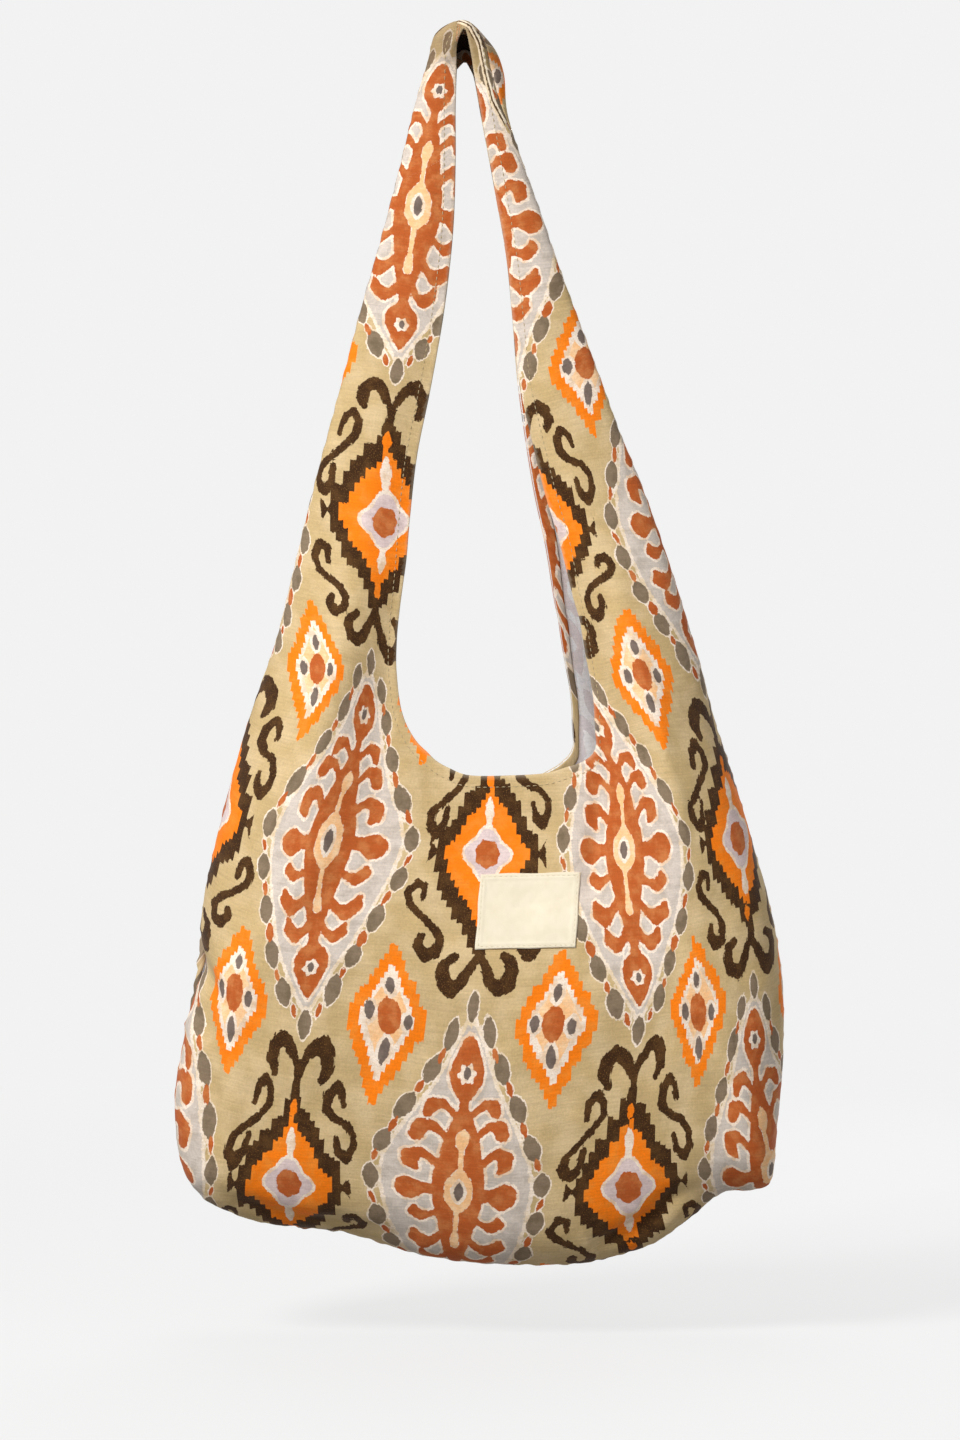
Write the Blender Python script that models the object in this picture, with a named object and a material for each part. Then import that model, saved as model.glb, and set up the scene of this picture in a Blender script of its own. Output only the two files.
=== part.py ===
"""Slouch shoulder bag of printed canvas, hanging empty from its strap.

The bag is two cloth panels, front and back, each cut in one with its half of the strap. They are sewn
together along one closed seam, which runs under the base, up both sides and over the strap's crown. A narrow
facing is sewn round each panel's mouth edge and turned to the inside, and a cotton label is sewn on the front.

Frame: metres, +Z up, -Y towards the viewer. The origin is the hang point under the strap's crown.
"""

import math

import bmesh
import bpy
import numpy as np
from mathutils import Vector
from mathutils.bvhtree import BVHTree

# Driving sizes in metres
BODY_WIDTH = 0.350        # across the filled-out body at its widest
BODY_HEIGHT = 0.2835      # lowest point of the mouth down to the lowest point of the base
BODY_DEPTH = 0.128        # front to back at the belly
BODY_OFFSET = 0.0087      # the body hangs this far to the right of the hang point
STRAP_DROP = 0.431        # hang point down to the lowest point of the mouth
MOUTH_WIDTH = 0.113       # across the scooped mouth, between the two arms
MOUTH_OFFSET = 0.0178     # middle of the mouth, to the right of the hang point
MOUTH_GAP = 0.064         # front mouth edge to back mouth edge, at the bottom of the scoop
BACK_SWING = 0.012        # the back panel hangs this much further left at the mouth
BACK_DIP = 0.009          # the back mouth edge hangs this much lower
CROWN_RISE = 0.006        # top of the strap above the hang point
CROWN_SPREAD = 0.038      # front edge to back edge of the strap where it lies open over its support
CROWN_BACK_FALL = 0.0145  # back mouth edge below the front one, at the crown
CLOTH = 0.0010            # canvas, one layer
SEAM_ALLOWANCE = 0.008    # turned in along the seam, each panel
SEAM_ROOM = 0.40          # share of the section's reach that the turned-in allowance may take at most
FACING_WIDTH = 0.007      # mouth facing, turned to the inside
FACING_CLOTH = 0.0008
CLEARANCE = 0.0003        # between cloth layers that touch
LABEL_WIDTH = 0.0572
LABEL_HEIGHT = 0.0425
LABEL_THICKNESS = 0.0006
LABEL_RIGHT = 0.0360      # label centre, to the right of the hang point
LABEL_BELOW_MOUTH = 0.0765
LABEL_LEAN = 4.0          # degrees, the label's sides follow the cloth's lengthwise grain
LABEL_RISE = 1.2          # degrees, its top and bottom follow the crosswise grain

# Fineness of the mesh
STEPS_PER_STATION = 2
STEPS_AT_CROWN = 5
FACE_SHARES = (0.0, 0.08, 0.18, 0.30, 0.44, 0.57, 0.69, 0.79, 0.87, 0.94, 1.0)   # mouth edge to seam
LABEL_CELLS = (10, 8)

HALF_WIDTH = BODY_WIDTH / 2
HALF_DEPTH = BODY_DEPTH / 2
HALF_MOUTH = MOUTH_WIDTH / 2
HALF_GAP = MOUTH_GAP / 2

# Stations round the seam, each with the point of the mouth edge that the cloth runs to.
# Columns: seam across, as a share of half the body's width; seam height; mouth edge across, as a share of half
# the mouth's width; mouth edge down, as a share of the strap's drop; depth, as a share of half the belly's;
# depth at the mouth edge, as a share of half the mouth gap; how square the cloth turns towards the seam.
# Seam height is the share of the body's height below the mouth for the body, of the strap's drop for the arms.
BOTTOM = (0.033, 0.996, 0.167, 1.000, 0.970, 1.000, 3.4)
LEFT_BODY = (
    (-0.199, 0.976, -0.264, 1.000, 0.971, 1.000, 3.5),
    (-0.408, 0.945, -0.476, 0.990, 0.972, 0.980, 3.7),
    (-0.630, 0.927, -0.606, 0.980, 0.973, 0.958, 4.0),
    (-0.812, 0.896, -0.695, 0.968, 0.974, 0.933, 4.4),
    (-0.941, 0.845, -0.774, 0.958, 0.977, 0.910, 4.6),
    (-0.994, 0.763, -0.832, 0.947, 0.981, 0.883, 4.2),
    (-1.004, 0.644, -0.880, 0.935, 1.000, 0.853, 3.8),
    (-0.974, 0.521, -0.917, 0.922, 0.987, 0.820, 3.5),
    (-0.941, 0.409, -0.943, 0.907, 0.963, 0.783, 3.2),
    (-0.921, 0.307, -0.958, 0.890, 0.930, 0.740, 3.1),
    (-0.900, 0.215, -0.967, 0.869, 0.882, 0.694, 3.0),
    (-0.865, 0.112, -0.970, 0.848, 0.819, 0.646, 2.8),
)
RIGHT_BODY = (
    (0.265, 0.998, 0.507, 0.997, 0.970, 0.994, 3.5),
    (0.437, 0.984, 0.725, 0.989, 0.971, 0.978, 3.6),
    (0.580, 0.949, 0.850, 0.984, 0.972, 0.966, 3.8),
    (0.703, 0.894, 0.934, 0.978, 0.974, 0.955, 4.0),
    (0.802, 0.847, 0.976, 0.974, 0.977, 0.945, 4.3),
    (0.895, 0.843, 1.009, 0.968, 0.977, 0.933, 4.6),
    (0.961, 0.824, 1.032, 0.959, 0.978, 0.913, 4.6),
    (0.981, 0.726, 1.030, 0.949, 0.987, 0.887, 4.0),
    (0.998, 0.583, 1.027, 0.929, 0.993, 0.837, 3.6),
    (1.003, 0.460, 1.028, 0.907, 0.980, 0.783, 3.3),
    (0.984, 0.337, 1.015, 0.883, 0.940, 0.724, 3.1),
    (0.951, 0.247, 0.991, 0.861, 0.899, 0.676, 3.0),
    (0.911, 0.157, 0.967, 0.840, 0.852, 0.629, 2.9),
    (0.868, 0.063, 0.944, 0.815, 0.781, 0.580, 2.8),
)
LEFT_ARM = (
    (-0.796, 0.969, -0.949, 0.811, 0.684, 0.571, 2.7),
    (-0.726, 0.885, -0.911, 0.775, 0.560, 0.503, 2.5),
    (-0.665, 0.816, -0.865, 0.740, 0.467, 0.445, 2.4),
    (-0.617, 0.744, -0.824, 0.708, 0.378, 0.402, 2.3),
    (-0.563, 0.659, -0.769, 0.650, 0.294, 0.341, 2.2),
    (-0.499, 0.565, -0.672, 0.569, 0.234, 0.278, 2.2),
    (-0.435, 0.475, -0.511, 0.482, 0.184, 0.224, 2.2),
    (-0.367, 0.377, -0.358, 0.388, 0.150, 0.185, 2.2),
    (-0.289, 0.273, -0.220, 0.276, 0.126, 0.161, 2.2),
    (-0.224, 0.179, -0.159, 0.179, 0.116, 0.170, 2.2),
    (-0.174, 0.102, -0.135, 0.102, 0.139, 0.240, 2.2),
    (-0.128, 0.043, -0.108, 0.051, 0.200, 0.360, 2.2),
)
RIGHT_ARM = (
    (0.826, 0.984, 0.921, 0.791, 0.706, 0.530, 2.7),
    (0.780, 0.923, 0.877, 0.768, 0.616, 0.492, 2.6),
    (0.737, 0.850, 0.834, 0.740, 0.508, 0.445, 2.5),
    (0.687, 0.778, 0.792, 0.711, 0.417, 0.405, 2.4),
    (0.634, 0.705, 0.741, 0.680, 0.334, 0.366, 2.3),
    (0.557, 0.611, 0.617, 0.616, 0.263, 0.312, 2.2),
    (0.487, 0.538, 0.498, 0.538, 0.219, 0.258, 2.2),
    (0.428, 0.468, 0.407, 0.468, 0.180, 0.219, 2.2),
    (0.364, 0.394, 0.371, 0.385, 0.156, 0.184, 2.2),
    (0.299, 0.318, 0.335, 0.304, 0.136, 0.167, 2.2),
    (0.237, 0.240, 0.265, 0.233, 0.122, 0.164, 2.2),
    (0.176, 0.166, 0.194, 0.166, 0.132, 0.200, 2.2),
    (0.137, 0.110, 0.134, 0.112, 0.140, 0.235, 2.2),
    (0.123, 0.054, 0.083, 0.062, 0.189, 0.335, 2.2),
)
# How far the seam is rolled round to the front at the crown and on the right arm just below it, in metres
CROWN_ROLL = (0.0, 0.005, 0.013)
RIGHT_ARM_ROLL = (0.013, 0.006, 0.0)
# The crown's two shoulders: seam across and down, mouth edge across and down, in metres
CROWN_LEFT = (-0.0165, 0.0005, -0.0048, 0.0085)
CROWN_RIGHT = (0.0155, 0.0080, 0.0035, 0.0125)


def station(row, roll=0.0, on_arm=False):
    """One station: seam, front mouth edge, back mouth edge, depth, edge depth, squareness, roll."""
    across, height, mouth_across, mouth_down, depth, edge, square = row
    if on_arm:
        seam = (across * HALF_WIDTH + BODY_OFFSET * height, -height * STRAP_DROP)
    else:
        seam = (across * HALF_WIDTH + BODY_OFFSET, -STRAP_DROP - height * BODY_HEIGHT)
    front = (mouth_across * HALF_MOUTH + MOUTH_OFFSET * mouth_down, -mouth_down * STRAP_DROP)
    scoop = max(0.0, 1 - mouth_across ** 2) * max(0.0, (mouth_down - 0.9) / 0.1)
    swing = BACK_SWING * min(1.0, max(0.0, (mouth_down - 0.45) / 0.35))
    back = (front[0] - swing, front[1] - BACK_DIP * scoop)
    return (*seam, *front, *back, depth * HALF_DEPTH, edge * HALF_GAP, square, roll)


def crown_stations():
    """The strap's crown, where it opens out over its support."""
    rows = []
    middle = (0.0, -CROWN_RISE, 0.0, 0.0)
    spreads = (0.82, 1.0, 0.84)
    falls = (0.75, 1.0, 0.5)
    for place, spread, fall, roll in zip((CROWN_LEFT, middle, CROWN_RIGHT), spreads, falls, CROWN_ROLL):
        seam, front = (place[0], -place[1]), (place[2], -place[3])
        back = (front[0], front[1] - CROWN_BACK_FALL * fall)
        open_half = CROWN_SPREAD / 2 * spread
        rows.append((*seam, *front, *back, open_half, open_half * 0.96, 2.2, roll))
    return rows


def stations():
    """All stations, clockwise as the viewer sees them, from the bottom centre."""
    rows = [station(BOTTOM)]
    rows += [station(row) for row in LEFT_BODY]
    rows += [station(row, on_arm=True) for row in LEFT_ARM]
    rows += crown_stations()
    rolls = RIGHT_ARM_ROLL + (0.0,) * (len(RIGHT_ARM) - len(RIGHT_ARM_ROLL))
    rows += [station(row, roll, on_arm=True) for row, roll in zip(reversed(RIGHT_ARM), rolls)]
    rows += [station(row) for row in reversed(RIGHT_BODY)]
    return np.array(rows)


def smooth_loop(rows, steps):
    """A closed Catmull-Rom curve through the rows; steps holds the number of steps on from each row."""
    count = len(rows)
    out = []
    for index, parts in enumerate(steps):
        near = [rows[(index + shift) % count] for shift in (-1, 0, 1, 2)]
        for step in range(parts):
            t = step / parts
            weights = (
                (-t + 2 * t ** 2 - t ** 3) / 2,
                (2 - 5 * t ** 2 + 3 * t ** 3) / 2,
                (t + 4 * t ** 2 - 3 * t ** 3) / 2,
                (-t ** 2 + t ** 3) / 2,
            )
            out.append(sum(w * r for w, r in zip(weights, near)))
    return np.array(out)


def arc(line):
    """Distance along the line at each of its points."""
    return np.concatenate([[0], np.cumsum(np.linalg.norm(np.diff(line, axis=0), axis=1))])


def along(line, wanted):
    """Points of the line at these distances along it."""
    run = arc(line)
    return np.stack([np.interp(wanted, run, line[:, k]) for k in (0, 1)], axis=1)


def face_lines(row):
    """One station's outer faces, front and back, each from its mouth edge to the seam, and the seam's frame.

    Points are (way from mouth edge to seam, depth). The frame is the seam's point, the direction across it from
    the front panel to the back one, and the direction into the bag.
    """
    seam, front, back = row[0:2], row[2:4], row[4:6]
    depth, edge, square, roll = row[6:10]
    reach = float(np.linalg.norm(seam - (front + back) / 2))
    angle = np.linspace(0, math.pi / 2, 241)
    out = np.sin(angle) ** (2 / square)
    turn = np.cos(angle) ** (2 / square)
    swell = np.sin(math.pi / 2 * np.minimum(1, out / 0.5)) ** 1.5
    half = np.stack([out * reach, -(edge + (depth - edge) * swell) * turn], axis=1)
    whole = np.concatenate([half, (half * (1, -1))[-2::-1]])
    length = arc(whole)[-1]
    place = length / 2 - roll
    point = along(whole, [place])[0]
    before, after = along(whole, [place - CLOTH, place + CLOTH])
    across = (after - before) / np.linalg.norm(after - before)
    inside = np.array([-across[1], across[0]])
    first = along(whole, np.linspace(0, place, 400))
    second = along(whole, np.linspace(length, place, 400))
    return first, second, (point, across, inside), reach


def panel_lines(line, frame, way):
    """The panel's outer face, its inner face and the inward direction, point for point, mouth edge to seam."""
    point, across, inside = frame
    ahead = across * -way
    length = arc(line)[-1]
    wanted = np.array(FACE_SHARES) * length
    outer = along(line, wanted)
    step = length * 0.006
    tangent = along(line, np.minimum(wanted + step, length)) - along(line, np.maximum(wanted - step, 0))
    tangent /= np.linalg.norm(tangent, axis=1, keepdims=True)
    inward = np.stack([-tangent[:, 1], tangent[:, 0]], axis=1) * -way
    inward[-1] = inside
    outer[-1] = point - ahead * CLEARANCE / 2
    inner = outer + inward * CLOTH
    least = CLOTH * (1 + 5 * (1 - wanted / length))
    short = np.maximum(0, least - (outer[-1] - inner) @ ahead) * (wanted > 0.8 * length)
    inner -= short[:, None] * ahead
    inner[-1] = outer[-1] + inside * CLOTH - ahead * CLOTH
    return outer, inner, inward


def panel_section(line, frame, reach, way):
    """The panel's closed section: outer face, turned-in allowance, inner face."""
    outer, inner, _ = panel_lines(line, frame, way)
    allowance = min(SEAM_ALLOWANCE, SEAM_ROOM * reach)
    tip = outer[-1] + frame[2] * allowance
    return np.concatenate([outer, [tip, tip + frame[1] * way * CLOTH], inner[::-1]])


def facing_section(line, frame, reach, way):
    """The mouth facing's closed section, against the panel's inner face next to the mouth edge."""
    _, inner, inward = panel_lines(line, frame, way)
    run = arc(inner)
    wanted = np.linspace(0.0005, min(FACING_WIDTH, 0.6 * run[-1]), 3)
    spots = np.stack([np.interp(wanted, run, inner[:, k]) for k in (0, 1)], axis=1)
    away = np.stack([np.interp(wanted, run, inward[:, k]) for k in (0, 1)], axis=1)
    away /= np.linalg.norm(away, axis=1, keepdims=True)
    near = spots + away * CLEARANCE * 1.3
    far = near + away * FACING_CLOTH
    return np.concatenate([near, far[::-1]])


def sweep(section, way):
    """The section swept round the loop: rings of points. way is -1 for the front panel and 1 for the back."""
    rows = stations()
    crown = len(LEFT_BODY) + len(LEFT_ARM)
    steps = [STEPS_AT_CROWN if crown - 1 <= k <= crown + 4 else STEPS_PER_STATION for k in range(len(rows))]
    rings = []
    for row in smooth_loop(rows, steps):
        first, second, frame, reach = face_lines(row)
        line = section(first if way < 0 else second, frame, reach, way)
        share = np.clip((line[:, 1] / row[7] + 1) / 2, 0, 1)[:, None]
        mouth = row[2:4] * (1 - share) + row[4:6] * share
        flat = mouth + (row[0:2] - mouth) * (line[:, 0:1] / reach)
        rings.append(np.stack([flat[:, 0], line[:, 1], flat[:, 1]], axis=1))
    return np.array(rings)


def solid_from_rings(name, rings):
    """A closed ring-shaped solid from rings of points that follow each other round the loop."""
    mesh = bmesh.new()
    verts = [[mesh.verts.new(point) for point in ring] for ring in rings]
    count = len(verts[0])
    for here, ahead in zip(verts, verts[1:] + verts[:1]):
        for k in range(count):
            after = (k + 1) % count
            mesh.faces.new((here[k], here[after], ahead[after], ahead[k]))
    bmesh.ops.triangulate(mesh, faces=mesh.faces)
    bmesh.ops.recalc_face_normals(mesh, faces=mesh.faces)
    return object_from_bmesh(name, mesh)


def object_from_bmesh(name, mesh):
    data = bpy.data.meshes.new(name)
    mesh.to_mesh(data)
    mesh.free()
    data.shade_smooth()
    obj = bpy.data.objects.new(name, data)
    bpy.context.scene.collection.objects.link(obj)
    return obj


def front_point(tree, spot):
    """The point of the front panel's face straight in front of this spot, or the nearest one to it."""
    hit = tree.ray_cast(spot - Vector((0, BODY_DEPTH, 0)), Vector((0, 1, 0)))[0]
    return hit if hit is not None else tree.find_nearest(spot - Vector((0, HALF_DEPTH, 0)))[0]


def label_solid(panel):
    """The label: a thin sheet that lies on the front panel's outer face."""
    tree = BVHTree.FromPolygons(
        [v.co.copy() for v in panel.data.vertices], [tuple(p.vertices) for p in panel.data.polygons])
    centre = Vector((LABEL_RIGHT, 0, -STRAP_DROP - LABEL_BELOW_MOUTH))
    lean, rise = math.radians(LABEL_LEAN), math.radians(LABEL_RISE)
    down_grain = Vector((-math.sin(lean), 0, -math.cos(lean)))
    cross_grain = Vector((math.cos(rise), 0, math.sin(rise)))
    columns, rows = LABEL_CELLS
    mesh = bmesh.new()
    layers = []
    for height in (CLEARANCE, CLEARANCE + LABEL_THICKNESS):
        grid = []
        for j in range(rows + 1):
            line = []
            for i in range(columns + 1):
                spot = centre + cross_grain * LABEL_WIDTH * (i / columns - 0.5)
                spot += down_grain * LABEL_HEIGHT * (j / rows - 0.5)
                line.append(mesh.verts.new(front_point(tree, spot) - Vector((0, height, 0))))
            grid.append(line)
        layers.append(grid)
    under, over = layers
    for j in range(rows):
        for i in range(columns):
            mesh.faces.new((over[j][i], over[j + 1][i], over[j + 1][i + 1], over[j][i + 1]))
            mesh.faces.new((under[j][i], under[j][i + 1], under[j + 1][i + 1], under[j + 1][i]))
    rim = [(0, i) for i in range(columns)] + [(j, columns) for j in range(rows)]
    rim += [(rows, i) for i in range(columns, 0, -1)] + [(j, 0) for j in range(rows, 0, -1)]
    for (j, i), (m, n) in zip(rim, rim[1:] + rim[:1]):
        mesh.faces.new((over[j][i], over[m][n], under[m][n], under[j][i]))
    bmesh.ops.triangulate(mesh, faces=mesh.faces)
    bmesh.ops.recalc_face_normals(mesh, faces=mesh.faces)
    return object_from_bmesh("label", mesh)


def material(name, colour, roughness):
    made = bpy.data.materials.new(name)
    made.use_nodes = True
    shader = made.node_tree.nodes["Principled BSDF"]
    shader.inputs["Base Color"].default_value = (*colour, 1.0)
    shader.inputs["Roughness"].default_value = roughness
    shader.inputs["Metallic"].default_value = 0.0
    return made


def main():
    for obj in list(bpy.data.objects):
        bpy.data.objects.remove(obj)
    canvas = material("printed_canvas", (0.60, 0.50, 0.32), 0.85)
    binding = material("facing_canvas", (0.42, 0.25, 0.15), 0.85)
    cotton = material("label_cotton", (0.83, 0.78, 0.65), 0.80)

    front = solid_from_rings("front_panel", sweep(panel_section, -1))
    back = solid_from_rings("back_panel", sweep(panel_section, 1))
    front_facing = solid_from_rings("front_mouth_facing", sweep(facing_section, -1))
    back_facing = solid_from_rings("back_mouth_facing", sweep(facing_section, 1))
    label = label_solid(front)
    for obj, finish in ((front, canvas), (back, canvas), (front_facing, binding), (back_facing, binding),
                        (label, cotton)):
        obj.data.materials.append(finish)


main()
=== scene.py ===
"""A slouch shoulder bag of ikat-printed cotton canvas, hanging empty from its strap.

The two canvas panels, the mouth facings, the stitching and the label are built as real layers of cloth over the
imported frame. Units are metres, +Z is up and the viewer stands on the -Y side.
"""

import logging
import math
from dataclasses import dataclass, field
from enum import Enum
from typing import Any, Callable, ClassVar, Iterable, Sequence

import bmesh
import bpy
import numpy as np
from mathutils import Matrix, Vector
from mathutils.bvhtree import BVHTree
from mathutils.geometry import delaunay_2d_cdt

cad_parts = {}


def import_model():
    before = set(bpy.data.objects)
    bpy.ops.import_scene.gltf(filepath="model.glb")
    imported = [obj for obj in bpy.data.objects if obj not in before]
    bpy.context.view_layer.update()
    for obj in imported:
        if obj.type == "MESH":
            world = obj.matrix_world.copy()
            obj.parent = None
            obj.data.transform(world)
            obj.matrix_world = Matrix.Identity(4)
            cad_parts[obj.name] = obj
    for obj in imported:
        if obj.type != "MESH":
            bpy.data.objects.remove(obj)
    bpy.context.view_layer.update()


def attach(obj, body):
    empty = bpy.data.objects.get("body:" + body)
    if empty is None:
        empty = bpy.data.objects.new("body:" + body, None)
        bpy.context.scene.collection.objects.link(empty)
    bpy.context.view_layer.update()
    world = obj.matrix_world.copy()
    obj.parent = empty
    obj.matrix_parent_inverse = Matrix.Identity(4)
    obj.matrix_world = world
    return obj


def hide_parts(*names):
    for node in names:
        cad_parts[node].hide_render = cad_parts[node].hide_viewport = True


LOG = logging.getLogger("slouch_bag")
Array = np.ndarray
STITCH_POINTS = 6  # points of a row from one stitch to the next
THREAD_SIDES = 6


class Side(Enum):
    """Which half of the bag a piece belongs to; the value is the side's direction along Y."""

    FRONT = -1
    BACK = 1

    @property
    def word(self) -> str:
        """The side's name as it stands in piece names."""
        return self.name.lower()


# ---------------------------------------------------------------- the form that the cloth hangs in


@dataclass
class HangingForm:
    """The surface of the hanging bag, as rings of stations round its closed seam.

    Each station joins a point of the seam to the point of the mouth edge that the cloth runs to. Station columns
    are: seam across, seam height, mouth edge across, mouth edge down, depth, depth at the mouth edge, squareness.
    """

    body_width: float = 0.350
    body_height: float = 0.2835
    body_depth: float = 0.128
    body_offset: float = 0.0087
    strap_drop: float = 0.431
    mouth_width: float = 0.113
    mouth_offset: float = 0.0178
    mouth_gap: float = 0.064
    back_swing: float = 0.012
    back_dip: float = 0.009
    dip_from: float = 0.9
    swing_from: float = 0.45
    swing_over: float = 0.35
    crown_rise: float = 0.006
    crown_spread: float = 0.038
    crown_back_fall: float = 0.0145
    crown_spreads: tuple = (0.82, 1.0, 0.84)
    crown_falls: tuple = (0.75, 1.0, 0.5)
    crown_edge: float = 0.96
    crown_square: float = 2.2
    cloth: float = 0.0010
    clearance: float = 0.0003
    allowance: float = 0.008
    allowance_room: float = 0.40
    bottom: tuple = (0.033, 0.996, 0.167, 1.000, 0.970, 1.000, 3.4)
    left_body: tuple = (
        (-0.199, 0.976, -0.264, 1.000, 0.971, 1.000, 3.5),
        (-0.408, 0.945, -0.476, 0.990, 0.972, 0.980, 3.7),
        (-0.630, 0.927, -0.606, 0.980, 0.973, 0.958, 4.0),
        (-0.812, 0.896, -0.695, 0.968, 0.974, 0.933, 4.4),
        (-0.941, 0.845, -0.774, 0.958, 0.977, 0.910, 4.6),
        (-0.994, 0.763, -0.832, 0.947, 0.981, 0.883, 4.2),
        (-1.004, 0.644, -0.880, 0.935, 1.000, 0.853, 3.8),
        (-0.974, 0.521, -0.917, 0.922, 0.987, 0.820, 3.5),
        (-0.941, 0.409, -0.943, 0.907, 0.963, 0.783, 3.2),
        (-0.921, 0.307, -0.958, 0.890, 0.930, 0.740, 3.1),
        (-0.900, 0.215, -0.967, 0.869, 0.882, 0.694, 3.0),
        (-0.865, 0.112, -0.970, 0.848, 0.819, 0.646, 2.8),
    )
    right_body: tuple = (
        (0.265, 0.998, 0.507, 0.997, 0.970, 0.994, 3.5),
        (0.437, 0.984, 0.725, 0.989, 0.971, 0.978, 3.6),
        (0.580, 0.949, 0.850, 0.984, 0.972, 0.966, 3.8),
        (0.703, 0.894, 0.934, 0.978, 0.974, 0.955, 4.0),
        (0.802, 0.847, 0.976, 0.974, 0.977, 0.945, 4.3),
        (0.895, 0.843, 1.009, 0.968, 0.977, 0.933, 4.6),
        (0.961, 0.824, 1.032, 0.959, 0.978, 0.913, 4.6),
        (0.981, 0.726, 1.030, 0.949, 0.987, 0.887, 4.0),
        (0.998, 0.583, 1.027, 0.929, 0.993, 0.837, 3.6),
        (1.003, 0.460, 1.028, 0.907, 0.980, 0.783, 3.3),
        (0.984, 0.337, 1.015, 0.883, 0.940, 0.724, 3.1),
        (0.951, 0.247, 0.991, 0.861, 0.899, 0.676, 3.0),
        (0.911, 0.157, 0.967, 0.840, 0.852, 0.629, 2.9),
        (0.868, 0.063, 0.944, 0.815, 0.781, 0.580, 2.8),
    )
    left_arm: tuple = (
        (-0.796, 0.969, -0.949, 0.811, 0.684, 0.571, 2.7),
        (-0.726, 0.885, -0.911, 0.775, 0.560, 0.503, 2.5),
        (-0.665, 0.816, -0.865, 0.740, 0.467, 0.445, 2.4),
        (-0.617, 0.744, -0.824, 0.708, 0.378, 0.402, 2.3),
        (-0.563, 0.659, -0.769, 0.650, 0.294, 0.341, 2.2),
        (-0.499, 0.565, -0.672, 0.569, 0.234, 0.278, 2.2),
        (-0.435, 0.475, -0.511, 0.482, 0.184, 0.224, 2.2),
        (-0.367, 0.377, -0.358, 0.388, 0.150, 0.185, 2.2),
        (-0.289, 0.273, -0.220, 0.276, 0.126, 0.161, 2.2),
        (-0.224, 0.179, -0.159, 0.179, 0.116, 0.170, 2.2),
        (-0.174, 0.102, -0.135, 0.102, 0.139, 0.240, 2.2),
        (-0.128, 0.043, -0.108, 0.051, 0.200, 0.360, 2.2),
    )
    right_arm: tuple = (
        (0.826, 0.984, 0.921, 0.791, 0.706, 0.530, 2.7),
        (0.780, 0.923, 0.877, 0.768, 0.616, 0.492, 2.6),
        (0.737, 0.850, 0.834, 0.740, 0.508, 0.445, 2.5),
        (0.687, 0.778, 0.792, 0.711, 0.417, 0.405, 2.4),
        (0.634, 0.705, 0.741, 0.680, 0.334, 0.366, 2.3),
        (0.557, 0.611, 0.617, 0.616, 0.263, 0.312, 2.2),
        (0.487, 0.538, 0.498, 0.538, 0.219, 0.258, 2.2),
        (0.428, 0.468, 0.407, 0.468, 0.180, 0.219, 2.2),
        (0.364, 0.394, 0.371, 0.385, 0.156, 0.184, 2.2),
        (0.299, 0.318, 0.335, 0.304, 0.136, 0.167, 2.2),
        (0.237, 0.240, 0.265, 0.233, 0.122, 0.164, 2.2),
        (0.176, 0.166, 0.194, 0.166, 0.132, 0.200, 2.2),
        (0.137, 0.110, 0.134, 0.112, 0.140, 0.235, 2.2),
        (0.123, 0.054, 0.083, 0.062, 0.189, 0.335, 2.2),
    )
    crown_roll: tuple = (0.0, 0.005, 0.013)
    right_arm_roll: tuple = (0.013, 0.006, 0.0)
    crown_left: tuple = (-0.0165, 0.0005, -0.0048, 0.0085)
    crown_right: tuple = (0.0155, 0.0080, 0.0035, 0.0125)
    steps_per_station: int = 24
    steps_across: int = 120
    curve_points: int = 121
    swell_by: float = 0.5
    swell_power: float = 1.5

    def _station(self, row: Sequence[float], roll: float = 0.0, on_arm: bool = False) -> tuple:
        """One station in metres.

        Args:
            row: The station's shares, as the class says.
            roll: How far the seam is rolled round to the front.
            on_arm: Whether the seam's height is a share of the strap's drop.

        Returns:
            Seam, front mouth edge, back mouth edge, depth, edge depth, squareness and roll.
        """
        across, height, mouth_across, mouth_down, depth, edge, square = row
        half_width, half_mouth = self.body_width / 2, self.mouth_width / 2
        if on_arm:
            seam = (across * half_width + self.body_offset * height, -height * self.strap_drop)
        else:
            seam = (across * half_width + self.body_offset, -self.strap_drop - height * self.body_height)
        front = (mouth_across * half_mouth + self.mouth_offset * mouth_down, -mouth_down * self.strap_drop)
        scoop = max(0.0, 1 - mouth_across**2) * max(0.0, (mouth_down - self.dip_from) / (1 - self.dip_from))
        swing = self.back_swing * min(1.0, max(0.0, (mouth_down - self.swing_from) / self.swing_over))
        back = (front[0] - swing, front[1] - self.back_dip * scoop)
        return (*seam, *front, *back, depth * self.body_depth / 2, edge * self.mouth_gap / 2, square, roll)

    def stations(self) -> Array:
        """All stations, clockwise as the viewer sees them, from the bottom centre.

        Returns:
            One row a station, as _station says.
        """
        rows = [self._station(self.bottom)]
        rows += [self._station(row) for row in self.left_body]
        rows += [self._station(row, on_arm=True) for row in self.left_arm]
        middle = (0.0, -self.crown_rise, 0.0, 0.0)
        places = (self.crown_left, middle, self.crown_right)
        for place, spread, fall, roll in zip(places, self.crown_spreads, self.crown_falls, self.crown_roll):
            seam, front = (place[0], -place[1]), (place[2], -place[3])
            back = (front[0], front[1] - self.crown_back_fall * fall)
            open_half = self.crown_spread / 2 * spread
            rows.append((*seam, *front, *back, open_half, open_half * self.crown_edge, self.crown_square, roll))
        rolls = self.right_arm_roll + (0.0,) * (len(self.right_arm) - len(self.right_arm_roll))
        rows += [self._station(row, roll, on_arm=True) for row, roll in zip(reversed(self.right_arm), rolls)]
        rows += [self._station(row) for row in reversed(self.right_body)]
        return np.array(rows)

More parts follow.
